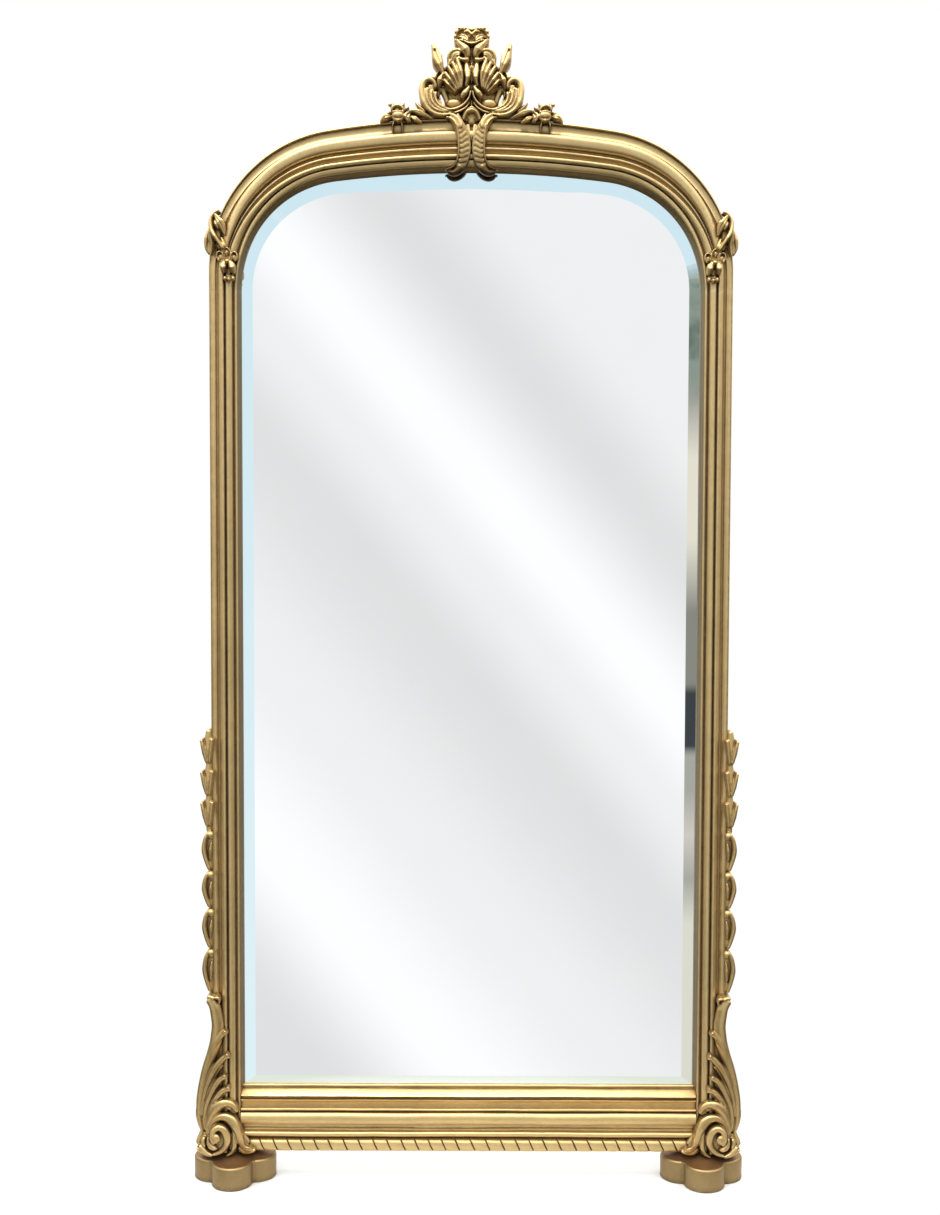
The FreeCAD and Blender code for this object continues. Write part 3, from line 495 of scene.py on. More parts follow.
def moulding_loop(section, outer, inner, along, wanders):
    """One closed loop of a moulding between an outer and a sight point, each (across, height)."""
    outer = np.array(outer, float)
    inner = np.array(inner, float)
    width = np.linalg.norm(inner - outer)
    loop = []
    for fraction, depth, band in section:
        sway = wanders[band](along) * BAND_WAVE
        spot = outer + (inner - outer) * fraction
        lift = sway if 0 < fraction < 1 else 0.0
        loop.append((spot[0], depth + lift, spot[1]))
    step = outer + (inner - outer) * (1 - REBATE / width)
    loop.append((step[0], 0.0, step[1]))
    loop.append((step[0], -BACK_DEPTH, step[1]))
    loop.append((outer[0], -BACK_DEPTH, outer[1]))
    return loop


def shade_reveal(piece, section):
    """The innermost band, beside the glass, gets a darker copy of the gilt: painted shade."""
    last = len(FRAME_BANDS) - 1
    around = len(section) + 3  # a loop has three more points, in the rebate and on the back
    for face in piece.data.polygons[:-2]:
        place = face.index % around
        if place < len(section) and section[place][2] == last:
            face.material_index = SHADE_REVEAL_SLOT


def frame_member(name, node, loops, side, section):
    """A stile or half of the arch, from its loops for the right side."""
    piece = solid_piece(name, node, mirrored(*loft(loops), side),
                        (FRAME_GILT, BARE_BACK, REVEAL_SHADE_GILT), MOULDING_CREASE)
    shade_reveal(piece, section)
    back_to_wood(piece)


def band_wanders(seed, shift, side, length):
    """One wander for each band of the frame, different on the two sides."""
    offset = shift if side > 0 else 0
    return [waver(seed * (k + 1) + offset, length) for k in range(len(FRAME_BANDS))]


def build_stile(label, side):
    section = frame_section(0.0)
    wanders = band_wanders(31, 7, side, JOINT_HEIGHT - stile_low[2])
    loops = [moulding_loop(section, (HALF_WIDTH, z), (SIGHT_HALF, z), z, wanders)
             for z in np.linspace(stile_low[2], JOINT_HEIGHT, STILE_STATIONS)]
    frame_member("stile_moulding_" + label, "stile_" + label, loops, side, section)


def contour_points(blend, count):
    """Evenly spaced points from the joint up to the crown on a contour between outer and sight."""
    half, spring, rise, corner = [lerp(a, b, blend) for a, b in zip(OUTER_CONTOUR, SIGHT_CONTOUR)]
    drop = ((half - corner) ** 2 - (rise - corner) ** 2) / (2 * (rise - corner))
    crown = drop + rise
    meet = math.atan2(drop, half - corner)
    run = spring - JOINT_HEIGHT
    side_arc = corner * meet
    crown_arc = crown * (math.pi / 2 - meet)
    points = []
    for s in np.linspace(0, run + side_arc + crown_arc, count):
        if s <= run:
            points.append((half, JOINT_HEIGHT + s))
        elif s <= run + side_arc:
            a = (s - run) / corner
            points.append((half - corner + corner * math.cos(a), spring + corner * math.sin(a)))
        else:
            a = meet + (s - run - side_arc) / crown
            points.append((crown * math.cos(a), spring - drop + crown * math.sin(a)))
    points[-1] = (0.0, spring + rise)
    return np.array(points)


def build_arch(label, side):
    levels = [contour_points(k / ARCH_LEVELS, ARCH_STATIONS) for k in range(ARCH_LEVELS + 1)]
    outer = levels[0]
    inner = levels[-1]
    wanders = band_wanders(53, 5, side, ARCH_RUN)
    loops = []
    for i in range(ARCH_STATIONS):
        width = np.linalg.norm(outer[i] - inner[i])
        weight = smooth_step((width - STILE_WIDTH) / (CROWN_WIDTH - STILE_WIDTH))
        section = frame_section(weight)
        loop = moulding_loop(section, outer[i], inner[i], ARCH_STATION_GAP * i, wanders)
        for k, (fraction, depth, band) in enumerate(section):
            level = min(int(fraction * ARCH_LEVELS), ARCH_LEVELS - 1)
            spot = lerp(levels[level][i], levels[level + 1][i], fraction * ARCH_LEVELS - level)
            loop[k] = (spot[0], loop[k][1], spot[1])
        loops.append(loop)
    frame_member("arch_moulding_" + label, "arch_" + label, loops, side, section)


RAIL_TOP = rail_high[2]
RAIL_LAP = 1.6  # the rail's ends run this far into the stiles
RAIL_WAVE = 0.65  # how far a band of the rail wanders up and down
RAIL_SWAY = 0.7  # share of that by which it wanders in depth
RAIL_STATIONS = 241

# kind, height of the band's lower edge, depths from its upper to its lower edge
RAIL_BANDS = (
    ("full", 168.8, (2.0, 4.0, 3.0)),
    ("flat", 166.2, (2.0, 1.8, 2.4)),
    ("soft", 158.5, (3.6, 15.5, 25.0)),
    ("flat", 155.8, (23.0, 22.0, 17.0)),
    ("soft", 150.6, (15.5, 13.5, 15.0)),
    ("full", 147.4, (17.0, 20.0, 18.0)),
    ("soft", 135.0, (18.0, 14.6, 15.0)),
    ("full", 129.4, (18.0, 23.5, 18.0)),
    ("flat", 127.0, (16.5, 16.2, 16.5)),
    ("round", 103.5, (18.5, 28.0, 18.5)),
    ("flat", 97.2, (16.5, 16.0, 16.5)),
    ("soft", 91.4, (17.0, 15.0, 17.0)),
    ("round", rail_low[2], (18.0, 25.0, 16.0)),
)


def build_rail():
    line = []
    top = RAIL_TOP
    for index, (kind, low, depths) in enumerate(RAIL_BANDS):
        for t, depth in band_depths(kind, *depths):
            line.append((lerp(top, low, t), depth, index))
        top = low
    half = SIGHT_HALF + RAIL_LAP
    wanders = [waver(97 * (k + 1), 2 * half) for k in range(len(RAIL_BANDS) + 1)]
    lifts = [waver(13 * (k + 3), 2 * half) for k in range(len(RAIL_BANDS) + 1)]
    loops = []
    for x in np.linspace(-half, half, RAIL_STATIONS):
        loop = []
        for z, depth, band in line:
            edge = z in (RAIL_TOP, RAIL_BANDS[-1][1])
            rise = 0.0 if edge else lifts[band](x) * RAIL_WAVE
            sway = 0.0 if edge else wanders[band](x) * RAIL_WAVE * RAIL_SWAY
            loop.append((x, depth + sway, z + rise))
        loop.append((x, -BACK_DEPTH, rail_low[2]))
        loop.append((x, -BACK_DEPTH, rail_high[2] - REBATE))
        loop.append((x, 0.0, rail_high[2] - REBATE))
        loop.append((x, 0.0, rail_high[2]))
        loops.append(loop)
    piece = solid_piece("rail_moulding", "bottom_rail", loft(loops),
                        (RAIL_GILT, BARE_BACK), MOULDING_CREASE)
    back_to_wood(piece)


ROPE_TURNS = 31
ROPE_SLANT = 12.5  # how far a cut leans across the height of the rope
ROPE_CUT = 4.2  # depth of a cut
ROPE_SHELF = 7.0  # height over which the rope's upper side rolls forward
ROPE_FRONT = 23.5
ROPE_BACK = -6.0
ROPE_BOW = 2.6  # how far the front bows out between its edges
ROPE_PUFF = 0.9  # how far a cushion swells between its cuts
ROPE_CREASE = 50
CUT_REACH = 1.5  # how far a cut's sides slope away from its middle


def build_rope():
    """Slanting cushions cut into a round bead, all leaning the same way."""
    half = rope_high[0]
    low, high = rope_low[2], rope_high[2]
    draw = random.Random(4)
    cuts = [0.0]
    for k in range(ROPE_TURNS):
        cuts.append(cuts[-1] + draw.uniform(0.92, 1.08))
    cuts = [-half + 2 * half * c / cuts[-1] for c in cuts]
    shares = (0.0, 0.03, 0.07, 0.12, 0.20, 0.32, 0.46, 0.60, 0.74, 0.85, 0.91, 0.95, 0.98)
    outline = []  # (height, depth, how much a cut bites here)
    shelf = high - ROPE_SHELF
    for k in range(6):
        t = k / 6
        outline.append((lerp(high - 1.0, shelf, t ** 1.4), lerp(8.0, ROPE_FRONT - 2.2, t),
                        0.15 + 0.5 * t))
    for k in range(15):
        t = k / 14
        bow = 1 - abs(2 * t - 1) ** 3.0
        outline.append((lerp(shelf, low + 1.0, t), ROPE_FRONT - ROPE_BOW + ROPE_BOW * bow,
                        0.6 + 0.4 * bow))
    outline.append((low, ROPE_FRONT - 6.0, 0.4))
    loops = []
    for a, b, deep in zip(cuts, cuts[1:], [draw.uniform(0.8, 1.15) for _ in cuts]):
        for share in shares:
            gap = min(share, 1 - share) * (b - a)
            bite = ROPE_CUT * deep * max(0.0, 1 - gap / CUT_REACH) ** 1.2
            puff = ROPE_PUFF * math.sin(math.pi * share) ** 0.6
            loop = []
            for z, depth, share_cut in outline:
                lean = ROPE_SLANT * (0.5 - (z - low) / (high - low))
                x = min(max(lerp(a, b, share) + lean, -half), half)
                loop.append((x, depth - bite * share_cut + puff * share_cut - ROPE_PUFF, z))
            x_back = min(max(lerp(a, b, share), -half), half)
            loop.append((x_back, ROPE_BACK, low))
            loop.append((x_back, ROPE_BACK, high))
            loops.append(loop)
    solid_piece("rope_moulding_carved", "rope_moulding", loft(loops), (RAIL_GILT,),
                ROPE_CREASE)


# ---------------- glass

GLASS_FRONT = 1.5  # depth of the flat of the glass
BEVEL_WIDTH = 30.0
BEVEL_DEPTH = 2.0  # how far the bevel falls back at the edge
BEVEL_STEPS = 3
CROWN_DIP = 6.0  # how much wider the bevel is at the crown
BOTTOM_TRIM = 7.0  # how much narrower the bevel is along the bottom
BEVEL_WOBBLE = 0.9  # how far the hand-ground inner line of the bevel strays
BOTTOM_STEPS, SIDE_STEPS, CORNER_STEPS, CROWN_STEPS = 12, 40, 32, 40
DIP_STEPS = 26  # steps of the crown over which its dip comes in
HAND_RUN = 900.0  # length over which the hand strays, in millimetres


def glass_outline(inset, wobble=0.0, dip=0.0):
    """Outline of the glass from the bottom middle round, moved inwards, with a dip at the crown."""
    half = glass_high[0] - inset
    bottom = glass_low[2] + inset * (1 - BOTTOM_TRIM / BEVEL_WIDTH)
    grow = glass_high[0] - SIGHT_HALF - inset
    h, spring, rise, corner = SIGHT_CONTOUR
    drop = ((h - corner) ** 2 - (rise - corner) ** 2) / (2 * (rise - corner))
    meet = math.atan2(drop, h - corner)
    uneven = waver(71, HAND_RUN)
    line = [(half * k / BOTTOM_STEPS, bottom) for k in range(BOTTOM_STEPS)]
    line += [(half, bottom + (spring - bottom) * k / SIDE_STEPS) for k in range(SIDE_STEPS)]
    for k in range(CORNER_STEPS + 1):
        a = meet * k / CORNER_STEPS
        r = corner + grow + wobble * uneven(6.0 * k)
        line.append((h - corner + r * math.cos(a), spring + r * math.sin(a)))
    for k in range(1, CROWN_STEPS + 1):
        a = lerp(meet, math.pi / 2, k / CROWN_STEPS)
        r = drop + rise + grow + wobble * uneven(200 + 9.0 * k) - dip * smooth_step(k / DIP_STEPS)
        line.append((r * math.cos(a), spring - drop + r * math.sin(a)))
    line[-1] = (0.0, line[-1][1])
    left = [(-x, z) for x, z in reversed(line[1:-1])]
    return line + left


def build_glass():
    """Flat mirror with a wide polished bevel all round and a thin green edge."""
    rear = GLASS_FRONT - (glass_high[1] - glass_low[1])
    rings = [(0.0, rear), (0.0, GLASS_FRONT - BEVEL_DEPTH)]
    for k in range(1, BEVEL_STEPS):
        share = k / BEVEL_STEPS
        rings.append((BEVEL_WIDTH * share, GLASS_FRONT - BEVEL_DEPTH * (1 - share)))
    rings.append((BEVEL_WIDTH, GLASS_FRONT))
    loops = []
    for inset, depth in rings:
        wobble = BEVEL_WOBBLE if inset == BEVEL_WIDTH else 0.0
        dip = CROWN_DIP * inset / BEVEL_WIDTH
        loops.append([(x, depth, z) for x, z in glass_outline(inset, wobble, dip)])
    around = len(loops[0])
    points, faces = loft(loops, cap=False)
    faces.append(tuple(range(around)))
    faces.append(tuple(reversed(range((len(loops) - 1) * around, len(loops) * around))))
    piece = new_mesh("bevelled_mirror", points, faces, smooth=False)
    outward(piece)
    finish_piece(piece, "mirror_glass", (SILVER, GLASS_EDGE))
    for face in piece.data.polygons:
        if face.normal.y > -0.5:  # the edge and the back, all but what looks forwards
            face.material_index = 1


# ---------------- feet

LOBE_RADIUS = 37.5
LOBE_OFFSET = 38.5  # middle of the foot to the middle of a lobe
LOBE_POINTS = 49
FOOT_EDGE = 42.0  # height of the top's outer edge
FOOT_ROUNDING = 5.0
FOOT_CREASE = 42
FOOT_CROWN = foot_high[2]


def lobe_outline(shrink):
    """Outline of four round lobes, as (across, depth), with crisp valleys between them."""
    radius = LOBE_RADIUS - shrink
    line = []
    for quarter in range(4):
        turn = quarter * math.pi / 2
        middle = (LOBE_OFFSET * math.cos(turn), LOBE_OFFSET * math.sin(turn))
        reach = 0.75 * math.pi - math.asin(min(1.0, LOBE_OFFSET * math.sqrt(0.5) / radius))
        for k in range(LOBE_POINTS):
            a = turn + lerp(-reach, reach, k / (LOBE_POINTS - 1))
            line.append((middle[0] + radius * math.cos(a), middle[1] + radius * math.sin(a)))
    return line


def build_foot(label, side):
    loops = []
    shoulder = FOOT_EDGE - FOOT_ROUNDING
    levels = [(1.5, 0.0), (0.0, 1.6)]  # how far the outline shrinks, and the height
    levels += [(0.25 * math.sin(k), lerp(4.0, shoulder, k / 6)) for k in range(7)]
    for k in range(1, 9):
        a = math.pi / 2 * k / 8
        levels.append((FOOT_ROUNDING * (1 - math.cos(a)), shoulder + FOOT_ROUNDING * math.sin(a)))
    for shrink, height in levels:
        loops.append([(x, d, height) for x, d in lobe_outline(max(shrink, 0.0))])
    rim = np.array(loops[-1])
    for k in range(1, 11):
        share = 1 - k / 11
        dome = lerp(FOOT_EDGE, FOOT_CROWN, smooth_step(1.25 * (1 - share)))
        loops.append([(x * share, d * share, dome) for x, d, _ in rim])
    points, faces = loft(loops)
    points = np.array(points) + (FOOT_CENTRE, 0, 0)
    piece = solid_piece("foot_block_" + label, "foot_" + label,
                        mirrored(points, faces, side), (FOOT_SHADED_GILT, FOOT_TOP_GRIME_AND_SHADE), FOOT_CREASE)
    # top faces get the darker brown: grime and painted shadow under the carving
    for face in piece.data.polygons:
        if face.normal.z > 0.9 and face.center.z > (FOOT_EDGE - 1) * MM:
            face.material_index = 1


# ---------------- carving

CARVE_VOXEL = 0.9  # size of the cells that merge the strokes
SMOOTH_PASSES = 2
SMOOTH_SHARE = 0.5  # how far a pass moves a point towards the mean of its neighbours
STATION_GAP = 1.1  # about how far apart a stroke's loops are
LEAST_HALF = 0.35  # least half width of a stroke
LEAST_BODY = 0.6  # least thickness in front of the flat back
TIP_FALL = 0.75  # share of the drop by which the crown falls at a rounded tip
BLADE_ACROSS = 15  # points across a stroke
BEAD_ROWS, BEAD_AROUND = 12, 20

# how high a stroke's front stands across it, from t = -1 to 1, as a share of its drop
SECTIONS = {
    "round": lambda t: np.sqrt(np.maximum(0.0, 1 - t * t)),
    "soft": lambda t: np.maximum(0.0, 1 - t * t) ** 0.8,
    "ridge": lambda t: 1 - np.abs(t) ** 1.25,
    "flat": lambda t: 1 - np.abs(t) ** 6,
    "band": lambda t: 1 - np.abs(t) ** 3.5,
    "hollow": lambda t: np.maximum(0.0, 1 - np.abs(t) ** 8) * (0.35 + 0.65 * np.abs(t) ** 1.6),
    "vein": lambda t: np.sqrt(np.maximum(0.0, 1 - t * t)) - 0.42 * np.exp(-(t / 0.16) ** 2),
}


class Carving:
    """Closed strokes laid over each other, then merged into one carved skin."""

    def __init__(self, base):
        self.base = base  # depth of the flat back of every stroke
        self.points = []
        self.faces = []

    def add(self, points, faces):
        start = len(self.points)
        self.points.extend(np.array(points, float).tolist())
        self.faces.extend(tuple(i + start for i in f) for f in faces)

    def blade(self, path, half, top, kind, drop, tips=(0, 0), tilt=0.0, base=None):
        """A tapering stroke along a path of (across, height) points.

        half is the half width and top the depth of the crown, each one value or a list that is
        eased along the path. The crown falls by drop to the edges. tips are the lengths over
        which the two ends round off. A positive tilt raises the left of the path's direction."""
        spots = np.array(path, float)
        length = np.linalg.norm(np.diff(spots, axis=0), axis=1).sum()
        count = max(8, int(length / STATION_GAP))
        centre = catmull(path, count)
        ahead = np.gradient(centre, axis=0)
        ahead /= np.linalg.norm(ahead, axis=1)[:, None]
        side = np.stack([-ahead[:, 1], ahead[:, 0]], axis=1)
        along = np.linspace(0, length, count)
        wide = np.maximum(spread(half, count), LEAST_HALF)
        crown = spread(top, count)
        for end, reach in enumerate(tips):
            if reach > 0:
                gap = along if end == 0 else length - along
                rounding = np.sqrt(np.clip(1 - (1 - np.clip(gap / reach, 0, 1)) ** 2, 0.02, 1))
                wide = wide * rounding
                crown = crown - drop * TIP_FALL * (1 - rounding)
        back = self.base if base is None else base
        t = np.sin(np.linspace(-math.pi / 2, math.pi / 2, BLADE_ACROSS))
        shape = SECTIONS[kind](t)
        loops = []
        for c, s, w, d in zip(centre, side, wide, crown):
            place = c[None, :] + s[None, :] * (w * t)[:, None]
            depth = np.maximum(d - drop * (1 - shape) + tilt * t, back + LEAST_BODY)
            loop = [(p[0], q, p[1]) for p, q in zip(place, depth)]
            loop.append((place[-1][0], back, place[-1][1]))
            loop.append((place[0][0], back, place[0][1]))
            loops.append(loop)
        self.add(*loft(loops))

    def bead(self, place, depth, radii):
        """An egg: radii across, in height and in depth."""
        rows = []
        for i in range(1, BEAD_ROWS):
            a = math.pi * i / BEAD_ROWS
            ring = []
            for j in range(BEAD_AROUND):
                b = 2 * math.pi * j / BEAD_AROUND
                ring.append((place[0] + radii[0] * math.sin(a) * math.cos(b),
                             depth + radii[2] * math.cos(a),
                             place[1] + radii[1] * math.sin(a) * math.sin(b)))
            rows.append(ring)
        self.add(*loft(rows))

    def plate(self, outline, top):
        """A flat slab inside a smooth closed outline of (across, height) points."""
        closed = catmull(list(outline) + [outline[0]], 6 * len(outline))[:-1]
        front = [(x, top, z) for x, z in closed]
        rear = [(x, self.base, z) for x, z in closed]
        self.add(*loft([rear, front]))

    def double(self):
        """Adds the same strokes mirrored about the middle."""
        points, faces = mirrored(np.array(self.points), self.faces, -1)
        self.add(points, faces)

    def merge(self):
        """One closed skin round all the strokes, as a mesh in metres."""
        raw = new_mesh("carving_strokes", self.points, self.faces)
        knit = raw.modifiers.new("merge", "REMESH")
        knit.mode = "VOXEL"
        knit.voxel_size = CARVE_VOXEL * MM
        knit.adaptivity = 0.0
        graph = bpy.context.evaluated_depsgraph_get()
        skin = bpy.data.meshes.new_from_object(raw.evaluated_get(graph))
        bpy.data.objects.remove(raw)
        spots = np.empty(len(skin.vertices) * 3)
        skin.vertices.foreach_get("co", spots)
        spots = spots.reshape(-1, 3)
        edges = np.empty(len(skin.edges) * 2, int)
        skin.edges.foreach_get("vertices", edges)
        edges = edges.reshape(-1, 2)
        links = np.bincount(edges.ravel(), minlength=len(spots)).astype(float)
        for _ in range(SMOOTH_PASSES):
            total = np.zeros_like(spots)
            for axis in range(3):
                for here, there in ((0, 1), (1, 0)):
                    total[:, axis] += np.bincount(edges[:, here], spots[edges[:, there], axis],
                                                  len(spots))
            spots += SMOOTH_SHARE * (total / links[:, None] - spots)
        skin.vertices.foreach_set("co", spots.ravel())
        skin.update()
        return skin


def place_skin(skin, name, node, side, material):
    """Puts a merged skin in the scene for one side, flat-backed, in place of its CAD node."""
    mesh = skin.copy()
    mesh.name = name
    if side < 0:
        spots = np.empty(len(mesh.vertices) * 3)
        mesh.vertices.foreach_get("co", spots)
        spots = spots.reshape(-1, 3) * (-1, 1, 1)
        mesh.vertices.foreach_set("co", spots.ravel())
        mesh.flip_normals()
    mesh.shade_smooth()
    mesh.update()
    piece = bpy.data.objects.new(name, mesh)
    bpy.context.scene.collection.objects.link(piece)
    finish_piece(piece, node, (material,))


def acanthus(work):
    """Leafy bracket beside the foot of a stile, ending in a round volute."""
    blade, bead = work.blade, work.bead
    blade([(477, 345), (465, 322), (461, 300), (461, 268), (465, 232), (471, 190), (473, 155),
           (469, 118), (465, 84), (468, 60)], [5, 8, 9, 11, 15, 22, 27, 31, 32, 26], 22, "flat", 4)
    blade([(445, 100), (428, 88), (410, 68)], [14, 13, 9], 30, "flat", 4)
    # the tall smooth stalk with its blunt rolled tip
    blade([(476, 346), (467.5, 331), (463.5, 312), (461.5, 292), (464.5, 268), (472, 242), (482, 214),
           (490.5, 182), (496, 150), (496, 120), (490, 92)],
          [8.5, 10, 10.5, 11, 9.5, 7.5, 6.5, 6.5, 6, 5.5, 4],
          [40, 41, 40, 38, 36, 35, 35, 35, 34, 33, 31], "soft", 4.5, (4, 3), 2.6)
    blade([(468, 344), (475, 347), (481.5, 345.5)], [4, 4.4, 2.4], [41, 41, 38], "round", 4, (3, 3))
    blade([(468, 346), (461, 346.5), (457.5, 341), (459.5, 335)], [2, 3, 2.8, 1.4], [41, 42, 42, 40],
          "round", 3, (2, 2))
    # side lobes, each folded over at its bright tip
    lobes = (
        ([(444, 284.5), (455, 275), (465.5, 259), (474.5, 236), (483, 207), (489, 178)], 5.2),
        ([(440, 240.5), (452, 232), (464, 217), (475, 197), (484.5, 172), (490.5, 146), (491, 122)],
         6.0),
        ([(445, 201.5), (457, 193), (468, 178), (477.5, 158), (484.5, 138), (487, 115), (484, 94)],
         5.6),
        ([(438.5, 178.5), (452, 172), (464.5, 158), (474, 141), (479.5, 122), (481.5, 102)], 5.8),
    )
    for path, half in lobes:
        blade(path, [half * 0.9, half, half, half * 0.85, half * 0.7, half * 0.6],
              [43.5, 42.5, 40, 37, 34.5, 32], "vein", 8, (1.5, 6), 1.8)
        (x0, z0), (x1, z1) = path[0], path[1]
        blade([(x0, z0), (lerp(x0, x1, 0.6), lerp(z0, z1, 0.6)), (x1 + 5, z1 - 5)],
              [half * 0.95, half * 0.9, 1.2], [44, 44, 39], "flat", 2.5, (1, 3), 1.5)
    for path, half in (
            ([(456, 262), (464, 246), (473, 222), (482, 195), (488, 168)], 3.2),
            ([(452, 219), (463, 205), (474, 184), (482, 160), (486, 134)], 3.4),
            ([(455, 184), (466, 170), (475, 150), (480.5, 128), (482, 106)], 3.0)):
        blade(path, [half * 0.5, half, half, half * 0.8, half * 0.6], [30, 32.5, 33, 32.5, 31], "round",
              4, (5, 5))
    blade([(484, 170), (497, 150), (500, 130), (497, 108), (490, 88)], [2.5, 4, 4.5, 4, 3],
          [26, 30, 31, 31, 29], "round", 5, (6, 5))
    # fillings behind the lobes
    blade([(447, 172), (460, 160), (470, 140)], [5, 8, 8], 34, "flat", 4, (3, 3))
    blade([(436, 138), (450, 144), (466, 133), (474, 115)], [6, 8, 8, 7], 35, "flat", 4, (3, 3))
    # the broad arched lobe over the volute
    blade([(427, 131), (433, 142.5), (444, 148.5), (457, 146), (468.5, 134), (476.5, 117), (480.5, 98),
           (481, 80)], [4.8, 8, 9.2, 9.2, 8.2, 6.6, 5, 3.4], [38, 41.5, 43, 42.5, 39.5, 36.5, 34, 32],
          "soft", 5, (3, 4), 1.5)
    # the band that rises from the little curl and turns into the volute
    blade([(398, 62), (407, 61.5), (415, 67), (420, 78), (423.5, 91), (429, 106), (438.5, 118.5),
           (450, 123), (461, 121), (470, 112.5), (476.5, 100), (478.5, 88)],
          [3.6, 6.4, 7.6, 6.8, 7.2, 8.6, 9.6, 9.4, 8.6, 6.8, 4.6, 2.5],
          [38, 40, 40.5, 40.5, 41, 42.5, 44.5, 45, 43.5, 41, 38.5, 36], "band", 5, (3, 4), 1.4)
    blade([(393, 60.5), (404, 57), (416, 59), (424, 67)], [3, 5, 6, 4], [35, 37, 37, 36], "soft", 4,
          (2, 3))
    blade([(401, 66), (411, 69), (417.5, 79), (421, 92), (427, 107)], [1.2, 2, 2.2, 2, 1.2],
          [41, 42, 42.5, 43, 44], "round", 2.5, (4, 4))
    # the strand that hangs between the band and the volute
    blade([(437, 107), (433.2, 95), (431.8, 82), (431.3, 69), (436, 57), (447, 49.5)],
          [2.2, 4.4, 4.8, 4.8, 4.2, 2.4], [38, 41, 42.5, 43, 42, 40], "soft", 4, (5, 4), 0.8)
    # the volute: a broad band that winds in to a smooth eye
    blade([(480, 53.5), (467, 55.5), (453.2, 62.5), (445.2, 75), (444.9, 89), (450, 101), (459, 106),
           (467.5, 101), (471.5, 91.5), (469.5, 82), (464.5, 77.5)],
          [2.6, 5, 6.8, 7.6, 7.6, 7.4, 7.2, 6.8, 6.2, 5.2, 3],
          [42, 45, 47.5, 49.5, 51, 51.5, 51.5, 51.5, 51.5, 51, 50.5], "band", 4.5, (4, 2.5), 1.2)
    bead((463.5, 86), 45.5, (7.6, 9.4, 5.6))
    # leaves that wrap the outer side of the volute
    blade([(479, 88), (477, 77), (470.5, 69.5), (461.5, 66.5)], [2, 6, 6.2, 3], [43, 47.5, 48.5, 47],
          "soft", 4, (3, 5), 1.0)
    blade([(495.5, 71.5), (489.5, 64.5), (480, 57.5), (469, 54)], [3, 4.4, 3.6, 2], [42, 45, 46, 46],
          "round", 4, (3, 5), 1.0)
    blade([(486.5, 86), (489, 76), (484.5, 67)], [2.4, 4.4, 2.4], [39, 42.5, 42], "round", 4, (4, 4))
    blade([(491, 96), (495, 84), (499.5, 69)], [3, 6, 4.6], [31, 34.5, 34], "soft", 5, (4, 3))
    blade([(502.5, 63.5), (495, 59.5), (484, 53), (471, 49.5)], [3, 4, 3.2, 1.8], [35, 38, 40, 41],
          "round", 4, (3, 4))
    blade([(486, 92), (489, 77), (492, 62)], [7, 11, 8], 30, "flat", 4, (4, 2))
    blade([(452, 104), (458, 85), (462, 62)], [9, 18, 12], 36, "flat", 4, (3, 3))


def husks(work):
    """A chain of three trefoil husks above four long buds."""
    blade, bead = work.blade, work.bead
    blade([(477.5, 835), (477.5, 742), (477.5, 650)], 5, 24.5, "flat", 3, (3, 3))
    for top in (839, 780, 723):
        blade([(477.5, top - 4), (479, top - 22), (479, top - 45), (477.5, top - 64)], [4, 8.5, 7.5, 5],
              23, "flat", 4)
        blade([(477, top), (477.5, top - 12), (478.5, top - 30), (478.5, top - 52)], [5, 6.4, 5.6, 3],
              [26, 28.5, 30, 28], "soft", 5, (3.5, 4))
        blade([(490.5, top - 17), (487.5, top - 29), (484, top - 44), (480, top - 62)],
              [2.6, 4, 4.4, 3], [31, 32, 31.5, 29], "round", 4.5, (2.4, 5))
        blade([(470, top - 15), (471.5, top - 28), (473.5, top - 44), (475.5, top - 62)],
              [3.4, 4, 4, 3], [33.5, 33.5, 32.5, 30], "round", 4.5, (3, 5))
    for top, length in ((654, 75), (580, 70), (510, 75), (435, 82)):
        fall = length / 74
        blade([(474.5, top - 3), (477.5, top - 22 * fall), (478.5, top - 38 * fall),
               (476.5, top - 58 * fall), (474, top - 73 * fall)], [4.5, 8, 8.4, 5.4, 3],
              [22, 23, 23, 23, 24], "soft", 5, (4, 5))
        bead((474, top - 8), 27.5, (6.6, 7.4, 7.2))
        blade([(477, top - 3), (483.5, top - 15 * fall), (486.2, top - 34 * fall),
               (482.5, top - 54 * fall), (476, top - 73 * fall)], [3, 4.2, 4.6, 4.2, 3],
              [32, 32.5, 32, 31, 30], "round", 4.5, (4, 5))
        blade([(472.5, top - 20 * fall), (474.5, top - 38 * fall), (475, top - 56 * fall)],
              [1.5, 3.4, 1.4], [30, 32, 29], "round", 4, (5, 6))


